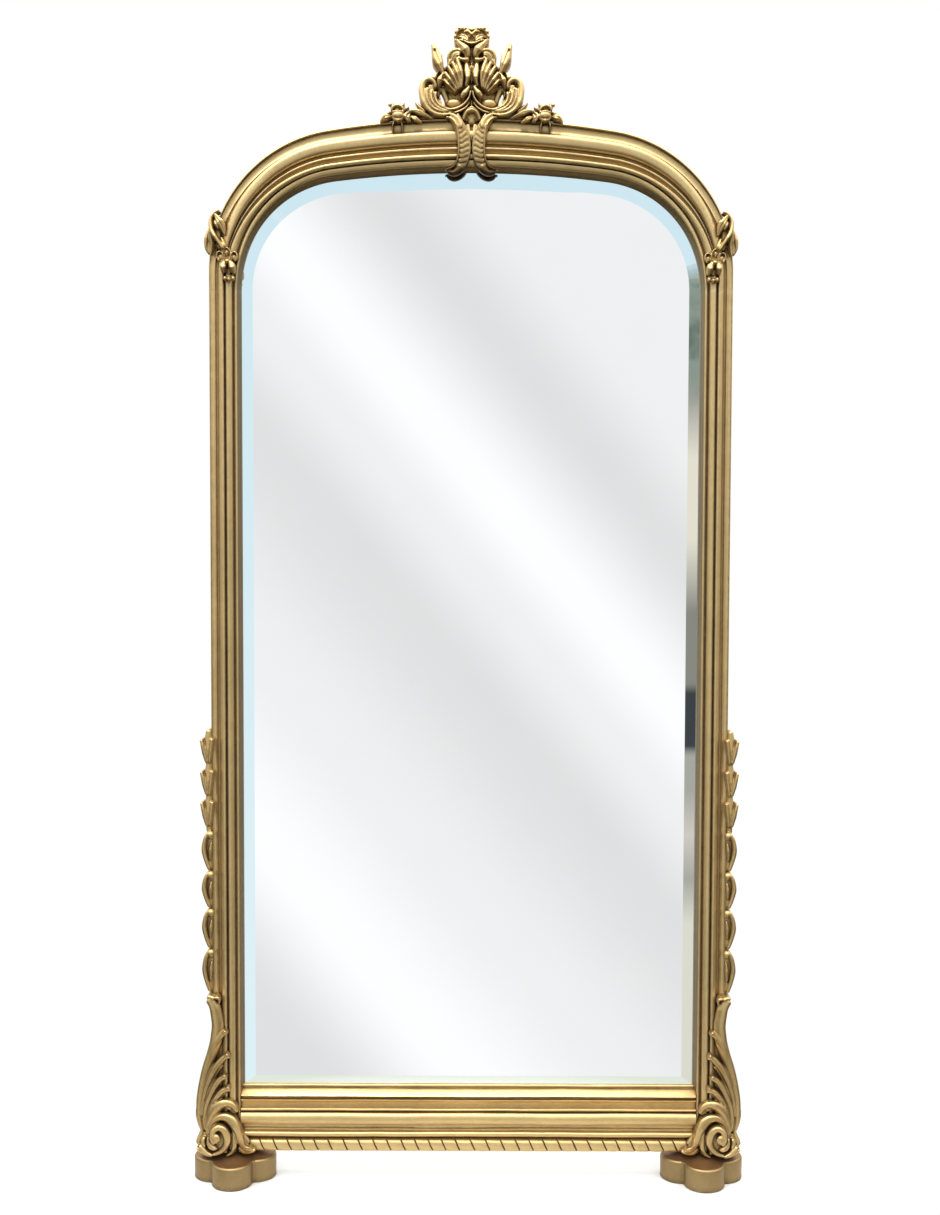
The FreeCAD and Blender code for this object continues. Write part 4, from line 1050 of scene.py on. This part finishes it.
def corner_leaves(work):
    """Ribboned leaves where the arch meets a stile, lapping the outer edge."""
    blade = work.blade
    blade([(452, 1776.5), (460, 1771), (465.5, 1763), (467, 1752.5), (464.5, 1739), (457.5, 1727),
           (450.5, 1716), (444.5, 1706)], [2.2, 3.2, 3.8, 3.8, 3.8, 3.6, 3.4, 2.6],
          [33, 37, 40, 42, 42.5, 42, 40.5, 38], "soft", 3.2, (3, 4), 0.8)
    blade([(460, 1769), (453, 1757.5), (446.5, 1747), (442, 1731)], [2.4, 7.4, 7.4, 1],
          [34, 37.5, 37, 32], "vein", 4, (2, 2), -1.0)
    blade([(461, 1758), (457, 1749), (453.5, 1742)], [2, 4.4, 2], [34, 36.5, 34], "ridge", 4, (2, 2),
          -1.0)
    blade([(449, 1729), (445, 1719), (442.5, 1708)], [1.8, 4.4, 3.6], [32, 35, 34], "soft", 4, (3, 2))
    blade([(468.5, 1745), (467, 1731), (465, 1715), (467, 1697)], [1.8, 5, 5.6, 0.8],
          [36, 37.5, 36.5, 30], "ridge", 4, (3, 2), 1.0)
    blade([(470.5, 1750), (476, 1733), (478, 1714), (472.5, 1700)], [2.4, 4.6, 5, 2],
          [18, 20.5, 20.5, 17], "soft", 6, (5, 4))
    blade([(469, 1735), (471, 1717), (470, 1700)], [3, 6, 3], 17.5, "flat", 3, (3, 3))
    blade([(460, 1768), (461, 1745), (457, 1722), (450, 1710)], [5, 10, 10, 5], 22, "flat", 3)


def corner_drops(work):
    """Scalloped cup, bell petals and three beads below the corner leaves."""
    blade, bead = work.blade, work.bead
    blade([(439, 1706), (438.5, 1693), (435, 1680)], [9, 17, 9], 25, "flat", 3)
    # the cup: a dished scallop in the middle and one on either side, each with a thin rim
    for path in (
            [(446.5, 1688), (445.5, 1696), (449.5, 1702.5), (455.5, 1701), (457, 1693), (452, 1685)],
            [(433, 1694), (432.5, 1703), (438.5, 1709.5), (445, 1705), (446, 1695)],
            [(431, 1687), (431.5, 1696), (427, 1702), (421.5, 1700), (420.5, 1692), (425, 1685)]):
        blade(path, 1.3, [29.5, 31.5, 33, 31.5, 29.5], "round", 2.4, (2, 2))
    bead((439.5, 1701.5), 23.5, (5.4, 7, 7))
    bead((451, 1693.5), 23, (5, 7, 6.5))
    bead((426, 1693), 23, (5, 7, 6.5))
    # two smooth petals that meet in a pointed bell, with a slit between them
    blade([(438, 1686), (443, 1680), (444.5, 1672), (444, 1663)], [3.4, 5.6, 5.6, 2.6],
          [37, 41, 43.5, 39], "soft", 4, (3, 3))
    blade([(436, 1686), (430.5, 1680), (427.5, 1672), (426, 1662.5)], [3.4, 5.6, 5.8, 2.6],
          [37, 41, 43.5, 39], "soft", 4, (3, 3))
    bead((437, 1684.5), 36, (5, 4.2, 6))
    blade([(436.5, 1674), (435, 1662)], [5, 4], [29, 29], "soft", 3, (3, 3))
    for x, z in ((441.5, 1654.5), (434.5, 1653), (427.5, 1654.5)):
        bead((x, z), 31, (3.2, 5.2, 5.2))
    blade([(441, 1659), (434, 1658), (427, 1660)], [3, 3, 3], 27, "flat", 2)


def crest_scrolls(work):
    """Combed C-scroll on one side of the crest, curled over at its outer end."""
    blade = work.blade
    blade([(76, 2004), (84, 1996), (83, 1975), (73, 1957.5), (52, 1949), (30, 1950)],
          [4, 7, 8.5, 9, 7, 4.5], 30, "flat", 4)
    blade([(2, 1978), (6.5, 1966), (16, 1956), (28, 1950), (42, 1947)], [1.5, 3, 4.6, 5, 4], 33, "flat",
          3)
    blade([(74, 1997), (72, 1986), (70, 1974), (64, 1963), (52, 1955), (36, 1950)], [4, 8, 10, 9, 7, 4],
          35, "flat", 4)
    blade([(64.8, 1990.5), (66, 2000), (72.5, 2006), (80, 2006), (86.3, 1999), (88.5, 1986),
           (86.5, 1970), (79, 1956), (66, 1947), (50, 1944.5), (33, 1947)],
          [3.4, 4.6, 5.6, 5.8, 5.4, 4.8, 4.6, 4.2, 3.6, 2.8, 1.8],
          [36, 39, 41, 42.5, 43, 42, 40.5, 40, 39, 38, 37], "round", 5, (4, 4), 0.6)
    blade([(77.5, 1992), (80, 1984), (79, 1972), (73, 1960.5), (61.5, 1952.5), (44, 1948.5)],
          [3.6, 3.8, 3.6, 3.2, 2.7, 1.6], [39.5, 41, 41, 40, 39, 37.5], "round", 4, (3.6, 4))
    blade([(70.5, 1987), (72.5, 1980), (71, 1970), (65, 1960.5), (55, 1954), (40, 1950)],
          [3.4, 3.4, 3.2, 2.9, 2.4, 1.6], [38.5, 40, 40.5, 39.5, 38.5, 37.5], "round", 4, (3.4, 4))
    blade([(63, 1985.5), (65, 1978), (63, 1969), (57, 1961), (48, 1956), (36, 1952.5)],
          [3.2, 3.2, 3, 2.6, 2.2, 1.4], [37.5, 39, 39.5, 39, 38.5, 38], "round", 4, (3.2, 4))
    blade([(1.5, 1986), (4.9, 1973), (14, 1962), (26.5, 1955.5), (39, 1954.5), (49.5, 1960),
           (55.5, 1968.5), (56.5, 1978)], [1.2, 2, 2.4, 2.6, 2.6, 2.5, 2.2, 1],
          [42.5, 43, 43, 42, 41, 39, 37, 34], "round", 3.4, (2, 3))
    blade([(3, 1966), (10, 1957.5), (20, 1951), (32, 1947.5)], [1, 1.6, 1.8, 1.4], [38, 39, 39, 38],
          "round", 2.4, (2, 3))


def crest_straps(work):
    """Gadrooned strap that runs down over the crown of the arch and rolls under it."""
    blade = work.blade
    middle = [(35, 1944), (27, 1935), (20, 1923), (15, 1909), (12.6, 1894), (12.8, 1879),
              (15.5, 1865), (20.5, 1856), (27, 1850)]
    blade(middle, [8, 9, 9.5, 10.2, 10.8, 10.6, 10, 8.5, 6.5],
          [35, 37, 38.3, 38.5, 37.5, 34.6, 31, 27, 22], "flat", 4, (3, 3))
    blade([(8, 1932), (5.2, 1920), (2.6, 1905)], [5, 4.4, 2.2], [25, 28, 29], "flat", 3, (3, 3))
    # the thin bright rim outside, which runs on into the tip, and the one inside
    blade([(47, 1940), (40, 1939.5), (33, 1934.5), (27.5, 1926), (24.3, 1912), (23, 1897), (23, 1881),
           (25.5, 1867), (30.5, 1857.5), (38, 1853), (48.5, 1851)],
          [1.2, 1.6, 1.7, 1.8, 1.9, 2, 2, 2, 2, 1.9, 0.9],
          [37, 39.5, 41, 42, 42, 40.8, 38, 34, 30, 27.5, 24.5], "round", 3, (3, 2))
    blade([(26, 1947), (17.5, 1934), (9.5, 1920), (4.6, 1906), (2.6, 1890), (3.8, 1876), (8, 1862.5),
           (13, 1853), (20, 1846)], [1.4, 1.6, 1.7, 1.8, 1.8, 1.8, 1.8, 1.8, 1.4],
          [38, 39, 39.5, 39.5, 38.8, 36.2, 32, 28, 22], "round", 2.6, (3, 3))
    # slanting cushions, packed edge to edge between the rims
    stations = 80
    cushions = 9
    rise = 4.4  # half the slant of a cushion, along the strap
    line = catmull(middle, stations)
    ahead = np.gradient(line, axis=0)
    ahead /= np.linalg.norm(ahead, axis=1)[:, None]
    across = np.stack([-ahead[:, 1], ahead[:, 0]], axis=1)
    crowns = spread([39, 41, 42, 42, 41, 38, 34, 29.5, 25], stations)
    blade([(39, 1945), (30, 1939), (23, 1929), (19.5, 1919)], [4, 7, 7.4, 5], [37, 39, 40, 39.5],
          "band", 3, (3, 5), -1.5)
    for k in range(cushions):
        spot = int(lerp(17, 70, k / (cushions - 1)))
        reach = lerp(5.6, 8.2, smooth_step(k / 3))
        middle_point = line[spot]
        inner = middle_point - across[spot] * reach - ahead[spot] * rise
        outer = middle_point + across[spot] * reach + ahead[spot] * rise
        crown = crowns[spot]
        blade([tuple(inner), tuple(middle_point - ahead[spot] * 0.8), tuple(outer)], [4.5, 4.8, 4.5],
              [crown - 2.2, crown - 1.4, crown - 1.8], "round", 2, (2.5, 2.5))
    # the end rolls under the arch
    blade([(18, 1860), (24, 1851), (33, 1846.5), (45, 1849.5)], [8, 9, 7.6, 3.4], [29, 27.5, 25.5, 22],
          "round", 9, (6, 6))


def rose_sprays(work):
    """Rose bud with sepals, a smaller bud outside it and leaves towards the crest."""
    blade, bead = work.blade, work.bead
    bead((131, 1943), 33, (11.8, 9.2, 10))
    bead((132, 1954), 28, (10.5, 5, 9.5))
    blade([(120.5, 1949), (124, 1956), (131.5, 1959.5), (139.5, 1957), (143, 1950)],
          [2.2, 3, 3.2, 3, 2.2], [39, 42, 43, 42, 39], "round", 3.5, (3, 3))
    blade([(120.5, 1948), (127, 1949.3), (136, 1949.3), (142, 1947.5)], [1.6, 2, 2, 1.6],
          [40, 42.5, 42.5, 40], "round", 3, (2, 2))
    blade([(120.5, 1944), (124.5, 1936.5), (131, 1934), (138, 1936.5), (141.5, 1943.5)],
          [1.5, 2.6, 3, 2.6, 1.5], [37, 40, 41, 40, 37], "round", 3, (3, 3))
    sepals = (
        ([(136, 1957), (138.5, 1963), (140, 1969)], 3.4),
        ([(127, 1957), (122.5, 1961.5), (119.5, 1967)], 4.4),
        ([(121, 1951), (116, 1955.5), (111, 1960)], 3.4),
        ([(138, 1937), (140.5, 1926), (141, 1915)], 1.9),
        ([(126, 1936), (124, 1926), (123, 1915)], 1.9),
        ([(141, 1954), (144, 1958), (145.5, 1960)], 2.6),
    )
    for path, half in sepals:
        blade(path, [half, half * 0.9, 0.5], [33, 37, 33], "ridge", 3, (2, 1.5))
    bead((145.6, 1962), 33, (3.6, 3.6, 4.2))
    blade([(142, 1942), (150, 1941.5), (157, 1938.5), (163.5, 1932)], [2.5, 6, 5.6, 1.6],
          [33, 38, 37, 32], "vein", 5, (3, 3))
    blade([(143, 1947), (148, 1948), (153, 1946), (157, 1943)], [2, 2.8, 2.6, 1.2], [34, 36, 36, 33],
          "round", 3, (2, 2))
    # leaves towards the crest
    blade([(112, 1949.5), (104, 1951), (92, 1947.5), (81, 1943.5), (69.5, 1938)],
          [2, 4.7, 4.7, 3.4, 0.8], [37, 40, 40, 38.5, 35], "vein", 4, (3, 4), -1.0)
    blade([(101, 1968.5), (95.5, 1961.5), (88.5, 1955), (80, 1949)], [0.8, 4.1, 4.1, 2.2],
          [32, 36.5, 37, 36], "ridge", 3.5, (1, 4))
    blade([(109, 1941.5), (101, 1938), (94, 1934.5), (87.5, 1931.5)], [2.4, 4.8, 4, 0.8],
          [35, 38, 37.5, 34], "vein", 3.5, (2, 2))
    blade([(112, 1949.5), (117.5, 1945), (117.2, 1937.5), (112, 1932)], [1.8, 2.7, 2.7, 1.4],
          [36, 39.5, 39.5, 36], "round", 3, (2, 2))
    blade([(108.5, 1946.5), (112, 1942.5), (111.6, 1936.5), (107.5, 1932.5)], [1.4, 2.2, 2.2, 1.2],
          [35, 38, 38, 35], "round", 3, (2, 2))
    blade([(148, 1941), (134, 1945), (112, 1944), (92, 1944), (76, 1943)], [4, 9, 6, 5, 3], 24, "flat",
          4)


def crest_half(work):
    """Right half of the crest: bloom, folded petals, ribbed shell, pod and small leaves."""
    blade, bead = work.blade, work.bead
    work.plate([(0, 1984), (14, 1989), (30, 1992), (44, 2000), (45, 2016), (43, 2034), (38, 2050),
                (29, 2061), (28, 2074), (28, 2088), (22, 2095), (8, 2095), (0, 2094)], 25)
    work.plate([(0, 1978), (16, 1972), (34, 1970), (46, 1980), (48, 1998), (30, 2006), (0, 2002)], 13)
    # bloom: a ruffled cup with a notched brow and a curved lip
    blade([(26.5, 2068), (28.6, 2077), (27.8, 2088), (22, 2095), (13, 2096), (6, 2095.5), (0, 2094)],
          [2.6, 3, 3, 2.8, 2.4, 2.4, 2.2], [31, 32, 32.5, 33, 34, 35, 36], "round", 4, (3, 0))
    for x, z, reach in ((22.5, 2097, 2.8), (16.5, 2096.8, 2.4), (10.5, 2097.2, 2.5), (4.6, 2096.6, 2.3),
                        (28, 2090.5, 2.8), (29.6, 2082.5, 2.6), (28.8, 2075.5, 2.4)):
        bead((x, z), 31, (reach, reach, 4.6))
    blade([(25, 2090), (17, 2092), (9, 2088), (4, 2081)], [2, 3.6, 4, 2.4], [29, 32, 34, 34], "hollow",
          4, (2, 3))
    blade([(26, 2083), (18.5, 2084.5), (11, 2080.5), (6, 2074.5)], [2, 3.8, 3.8, 2.2], [30, 33, 35, 36],
          "hollow", 4, (2, 3))
    blade([(26.5, 2075), (20, 2077), (14, 2073.5)], [2, 3.2, 2], [31, 34, 36], "ridge", 4, (2, 2))
    blade([(16, 2090), (8, 2091.5), (3, 2088.5), (0, 2085)], [1.4, 2.2, 2.4, 2.4], [34, 36, 38, 39],
          "round", 3, (2, 0))
    blade([(15.5, 2074.5), (10, 2070.5), (4.5, 2068.2), (0, 2067.4)], [1.2, 2, 2.3, 2.4],
          [41, 44, 45, 45], "round", 3, (2, 0))
    # two big folded petals under it, their tips curled in to the middle
    blade([(27, 2077), (22.5, 2069.5), (14.5, 2061.5), (8.4, 2053), (6.6, 2043)], [2.4, 5, 7, 7.6, 4.4],
          [38, 42.5, 45.5, 46, 41], "soft", 5, (2, 3.5), -1.0)
    blade([(4, 2043), (11, 2040), (19, 2042), (25, 2048)], [3.4, 4.6, 4.4, 1.6], [39, 42, 41, 37],
          "soft", 5, (3, 3))
    # the folded leaves beside them
    blade([(40.5, 2036), (40.5, 2047), (35.5, 2055.5), (26, 2058), (17, 2054)], [2.6, 4, 4.6, 4.4, 3],
          [31, 35, 38, 40, 40], "soft", 4.5, (3, 3), -1.0)
    blade([(34, 2034), (33, 2043), (28, 2050), (20, 2050)], [4, 5.6, 5.6, 4], [33, 37.5, 39.5, 40],
          "vein", 4.5, (3, 3))
    blade([(43, 2027), (40, 2035), (36, 2043)], [2.2, 3.2, 2], [32, 35, 35], "round", 3.4, (3, 3))
    blade([(27, 2038), (24, 2045)], [3, 2.4], [38, 39], "round", 3.4, (3, 3))
    # ribbed shell
    bead((32, 1999), 23, (16.5, 14.5, 11))
    ribs = (
        ([(26, 2041), (20.5, 2024), (17, 2007), (18.5, 1990)], 4.4, 45),
        ([(34.5, 2037), (27.5, 2021), (22, 2005), (21, 1989)], 4.2, 44.5),
        ([(42.5, 2030), (34.5, 2016), (27.5, 2001.5), (23.5, 1987.5)], 4.1, 43.5),
        ([(48.5, 2020), (40.5, 2008.5), (32, 1997), (26, 1986)], 4.0, 42),
        ([(50, 2008), (43, 1999), (35, 1990.5), (28, 1984)], 3.6, 40),
    )
    for path, half, top in ribs:
        blade(path, [half * 0.8, half, half * 0.8, half * 0.45], [top - 4, top, top - 1, top - 5],
              "round", 6.5, (3, 3))
    # petals and tongues in the middle
    blade([(9.5, 2037), (7.6, 2024), (6.8, 2011), (8, 2001), (11.5, 1993)], [4, 6.2, 6.4, 5.6, 2],
          [36, 41, 44, 45.5, 40], "soft", 4.5, (3, 3), 1.0)
    blade([(0, 2038), (0, 2020), (0, 2000)], [3, 3, 1.5], [31, 34, 33], "round", 3, (2, 3))
    bead((0, 2029), 31, (2.8, 5, 4))
    blade([(3, 1996), (7.5, 1987.5), (13.5, 1979.5), (18.5, 1974)], [2.4, 4.6, 5.4, 4],
          [38, 42.5, 43, 40], "soft", 4, (3, 2.5), 1.0)
    bead((31, 1967), 21, (15, 10, 9.5))
    blade([(53, 1998), (48, 1985), (43, 1970), (38, 1958)], [6, 4.4, 4.4, 6], 18, "flat", 3)
    blade([(59, 2000), (60, 1990), (58.5, 1980)], [5, 4.6, 2], 18, "flat", 3)
    # pod, almond leaf and leaflet
    blade([(69.5, 2073), (66.5, 2062), (62.5, 2049), (57, 2035), (50.5, 2018)], [3, 7, 9.2, 8.6, 2.4],
          [30, 34.5, 36.5, 37, 34], "vein", 5, (3, 2))
    blade([(70, 2055), (68, 2042), (62, 2030), (55, 2021)], [1.4, 3.4, 3.4, 1.4], [26, 28, 28, 26],
          "round", 3, (3, 3))
    bead((66.5, 2061), 33.5, (2.2, 2.6, 3))
    blade([(51, 2019), (55, 2010), (58.4, 2000), (60.3, 1990.5)], [1.2, 4.6, 5.2, 1], [34, 39, 39, 33],
          "soft", 4.5, (2, 2))
    blade([(60, 2022), (65.5, 2014), (66.5, 2006), (63.5, 2000)], [1.6, 4, 4, 1], [28, 32, 32, 28],
          "round", 4, (2, 2))
    blade([(52, 2021), (48, 2013), (46, 2003)], [3.4, 4, 3.4], [31, 33, 31], "round", 4, (3, 3))
    blade([(44, 2034), (50, 2026), (56, 2016), (60, 2008)], [2, 4, 5, 3], 20, "flat", 4)
    # arched band and small dome under the point where the scrolls meet
    blade([(0, 1953.5), (7.5, 1950.5), (12.5, 1943.5), (15, 1935)], [4, 4, 3.8, 3], [40, 39.5, 38, 35],
          "soft", 3.6, (0, 2))
    blade([(0, 1958.5), (9, 1955), (15.5, 1947.5)], [1.5, 1.6, 1.2], [37, 36.5, 34], "round", 3, (0, 2))
    bead((0, 1938), 20, (9, 9.5, 6.5))
    blade([(8, 1940), (24, 1944), (44, 1948)], [5, 8, 7], 24, "flat", 4, base=6)
    blade([(0, 1960), (0, 1970)], [3, 0.8], [36, 37], "ridge", 3, (2, 1))
    blade([(0, 1943), (4, 1956), (3, 1974)], [10, 9, 3], 26, "flat", 3, base=6)


def build_carvings():
    """Each carving is cut once for the right side and mirrored for the left."""
    pairs = (  # node, piece, strokes, depth of the flat back, material
        ("acanthus_scroll", "carved_acanthus", acanthus, -8.0, ACANTHUS_GILT),
        ("husk_chain", "carved_husks", husks, -3.0, CARVED_GILT),
        ("corner_leaf", "carved_corner_leaves", corner_leaves, 8.0, CARVED_GILT),
        ("corner_drop", "carved_corner_drop", corner_drops, 12.0, CARVED_GILT),
        ("crest_scroll", "carved_crest_scroll", crest_scrolls, 4.0, CARVED_GILT),
        ("crest_strap", "carved_strap", crest_straps, 12.0, STRAP_GILT),
        ("rose_spray", "carved_rose_spray", rose_sprays, 14.0, CARVED_GILT),
    )
    for node, name, draw, base, material in pairs:
        work = Carving(base)
        draw(work)
        skin = work.merge()
        for label, side in LEFT_RIGHT:
            place_skin(skin, name + "_" + label, node + "_" + label, side, material)
    crest = Carving(1.0)
    crest_half(crest)
    crest.double()
    place_skin(crest.merge(), "carved_crest", "crest_centre", 1, CARVED_GILT)


# ---------------- light, floor and camera

# What the glass shows is set by slopes: across or height over distance ahead. Each pair says
# where one view gives way to the next.
LEFT_BEVEL = (-0.19, -0.24)
RIGHT_BEVEL = (0.20, 0.23)
TOP_BEVEL = (0.285, 0.33)
BOTTOM_BEVEL = (-0.425, -0.445)
GARDEN_START = (0.09, 0.12)
SKY_START = (0.19, 0.23)
VIEW_SIDES = (-0.74, -0.84)
VIEW_TOP = (0.62, 0.42)
VIEW_BOTTOM = (-0.69, -0.62)
TERRACE_SLOPES = (-0.45, 0.18)
SHEEN_LEAN = (-1.07, -1.26)  # how fast the sheen changes with height and across
SHEEN_ENDS = (-0.436, 0.564)

# the room's soft diagonal bands: share of the way along them, and how bright
BRIGHT = 1.05
MIDDLE = 0.92
DIM = 0.79
SHEEN = ((0.18, MIDDLE), (0.27, DIM), (0.39, BRIGHT), (0.46, MIDDLE), (0.54, DIM),
         (0.70, MIDDLE), (0.84, BRIGHT), (0.96, DIM))

STONE = (0.75, 0.74, 0.64)
SHADE = (0.41, 0.41, 0.37)
STEP = (0.66, 0.62, 0.56)
RAILING = (0.05, 0.06, 0.065)
PAVING = (0.26, 0.26, 0.23)
WALL = (0.82, 0.78, 0.66)
LAWN = (0.18, 0.22, 0.18)

# the terrace from its foot upwards: share of its height, and the tone there
TERRACE = ((0.28, STONE), (0.33, SHADE), (0.38, STEP), (0.43, SHADE), (0.47, SHADE),
           (0.48, RAILING), (0.54, RAILING), (0.55, PAVING), (0.63, PAVING), (0.71, WALL),
           (0.80, WALL), (0.86, SHADE), (0.92, LAWN))
# share of the way from straight down to straight up, and the room's light there
ROOM = ((0.0, (0.05, 0.035, 0.02)), (0.30, (0.09, 0.07, 0.05)), (0.42, (0.30, 0.27, 0.23)),
        (0.50, (0.74, 0.73, 0.72)), (0.66, (1.05, 1.06, 1.09)), (0.82, (2.4, 2.42, 2.46)),
        (1.0, (4.2, 4.2, 4.15)))


def build_world():
    """A soft bright room: pale bands in front of the glass, bright above, dim brown below."""
    world = bpy.data.worlds.new("soft_room")
    bpy.context.scene.world = world
    n = Nodes(world)
    spot = n.add("ShaderNodeTexCoord").outputs["Generated"]
    parts = n.add("ShaderNodeSeparateXYZ", {"Vector": spot}).outputs
    ahead = n.math("MAXIMUM", n.math("ABSOLUTE", parts[1]), 0.08)
    u = n.math("DIVIDE", parts[0], ahead)
    v = n.math("DIVIDE", parts[2], ahead)
    lean = n.math("ADD", n.math("MULTIPLY", v, SHEEN_LEAN[0]), n.math("MULTIPLY", u, SHEEN_LEAN[1]))
    stops = [(place, (light, light, light * 1.005)) for place, light in SHEEN]
    front = n.ramp(n.remap(lean, *SHEEN_ENDS), stops, "EASE")
    front = n.mix(n.remap(v, *BOTTOM_BEVEL), front, (0.80, 0.85, 0.74, 1))
    blue = n.mix(n.remap(v, -0.30, 0.30), (0.78, 0.92, 0.97, 1), (0.66, 0.84, 0.92, 1))
    edges = n.math("MAXIMUM", n.remap(u, *LEFT_BEVEL), n.remap(v, *TOP_BEVEL))
    front = n.mix(edges, front, blue)
    # what the right-hand bevel sees: a garden door above a pale terrace
    leaves = n.noise(30.0, 4.0, vector=spot)
    garden = n.mix(n.remap(leaves, 0.40, 0.60), (0.09, 0.12, 0.09, 1), (0.27, 0.33, 0.28, 1))
    terrace = n.ramp(n.remap(v, *TERRACE_SLOPES), TERRACE)
    side = n.mix(n.remap(v, *GARDEN_START), terrace, garden)
    side = n.mix(n.remap(v, *SKY_START), side, blue)
    front = n.mix(n.remap(u, *RIGHT_BEVEL), front, side)
    room = n.ramp(n.remap(parts[2], -1.0, 1.0), ROOM)
    towards = n.math("MULTIPLY", n.remap(parts[1], *VIEW_SIDES), n.remap(v, *VIEW_TOP))
    towards = n.math("MULTIPLY", towards, n.remap(v, *VIEW_BOTTOM))
    seen = n.mix(towards, room, front)
    paths = n.add("ShaderNodeLightPath").outputs
    backdrop = n.add("ShaderNodeBackground", {"Color": (1.0, 1.0, 1.0, 1), "Strength": 1.02})
    around = n.add("ShaderNodeBackground", {"Color": seen, "Strength": 1.0})
    chosen = n.add("ShaderNodeMixShader", {0: paths["Is Camera Ray"], 1: around.outputs[0],
                                           2: backdrop.outputs[0]})
    n.add("ShaderNodeOutputWorld", {"Surface": chosen.outputs[0]})


FLOOR_REACH = (0.90, 0.36)  # half length and half depth of the floor patch, in metres
FLOOR_RINGS, FLOOR_AROUND = 10, 96
FLOOR_FADE = (0.50, 0.96)  # shares of the reach between which the floor fades out


def build_floor():
    """A pale floor patch that fades out into the white around it."""
    around = FLOOR_AROUND
    points = [(0.0, 0.0, 0.0)]
    faces = []
    for ring in range(1, FLOOR_RINGS + 1):
        for k in range(around):
            a = 2 * math.pi * k / around
            share = ring / FLOOR_RINGS
            points.append((FLOOR_REACH[0] * share * math.cos(a),
                           FLOOR_REACH[1] * share * math.sin(a), 0.0))
    for k in range(around):
        m = (k + 1) % around
        faces.append((0, 1 + k, 1 + m))
        for ring in range(FLOOR_RINGS - 1):
            i, j = 1 + ring * around, 1 + (ring + 1) * around
            faces.append((i + k, j + k, j + m, i + m))
    mesh = bpy.data.meshes.new("pale_floor")
    mesh.from_pydata(points, [], faces)
    floor = bpy.data.objects.new("pale_floor", mesh)
    bpy.context.scene.collection.objects.link(floor)
    material, n = new_material("pale_floor_paint")
    grain = n.noise(60.0, 4.0)
    paint = n.add("ShaderNodeBsdfPrincipled", {
        "Base Color": n.mix(grain, (0.60, 0.60, 0.59, 1), (0.64, 0.64, 0.63, 1)),
        "Roughness": 0.6, "Normal": n.bump(grain, 0.0005, 0.3), "Specular IOR Level": 0.2})
    clear = n.add("ShaderNodeBsdfTransparent")
    spot = n.add("ShaderNodeTexCoord").outputs["Object"]
    spot = n.add("ShaderNodeMapping", {"Vector": spot, "Scale": (
        1 / FLOOR_REACH[0], 1 / FLOOR_REACH[1], 1.0)}).outputs[0]
    far = n.add("ShaderNodeVectorMath", {0: spot}, operation="LENGTH").outputs["Value"]
    fade = n.remap(far, *FLOOR_FADE)
    n.output(n.add("ShaderNodeMixShader", {0: fade, 1: paint.outputs[0],
                                           2: clear.outputs[0]}).outputs[0])
    mesh.materials.append(material)


def add_light(name, place, target, size, energy):
    lamp = bpy.data.lights.new(name, "AREA")
    lamp.shape = "RECTANGLE"
    lamp.size, lamp.size_y = size
    lamp.energy = energy
    holder = bpy.data.objects.new(name, lamp)
    holder.location = place
    holder.rotation_euler = (Vector(target) - Vector(place)).to_track_quat("-Z", "Y").to_euler()
    bpy.context.scene.collection.objects.link(holder)


EYE = (0.0, -2.7, 1.195)  # where the camera stands, in metres
LENS = 43.62
TILT = 87.2  # degrees up from straight down
TURN = 0.18


def build_camera():
    """Eye level with the glass, square on, looking slightly down."""
    lens = bpy.data.cameras.new("camera")
    lens.lens = LENS
    lens.sensor_width = 36.0
    lens.clip_end = 50.0
    camera = bpy.data.objects.new("camera", lens)
    camera.location = EYE
    aim = Matrix.Rotation(math.radians(TILT), 3, "X") @ Matrix.Rotation(math.radians(TURN), 3, "Z")
    camera.rotation_euler = aim.to_euler()
    bpy.context.scene.collection.objects.link(camera)
    bpy.context.scene.camera = camera


# ---------------- build everything

for label, side in LEFT_RIGHT:
    build_stile(label, side)
    build_arch(label, side)
    build_foot(label, side)
build_rail()
build_rope()
build_glass()
build_carvings()

CAD_FINISHES = {
    "back_board": PLYWOOD,
    "strip_wood": SOFTWOOD,
    "zinc_steel": ZINC,
    "gilt_carving": CARVED_GILT,
}
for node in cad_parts.values():
    slot = node.data.materials[0].name.split(".")[0]
    if slot in CAD_FINISHES:
        node.material_slots[0].material = CAD_FINISHES[slot]

build_world()
build_floor()
add_light("window", (-0.7, -1.5, 4.3), (0.0, 0.0, 1.2), (2.4, 1.4), 70.0)
build_camera()
bpy.context.scene.view_settings.view_transform = "Standard"
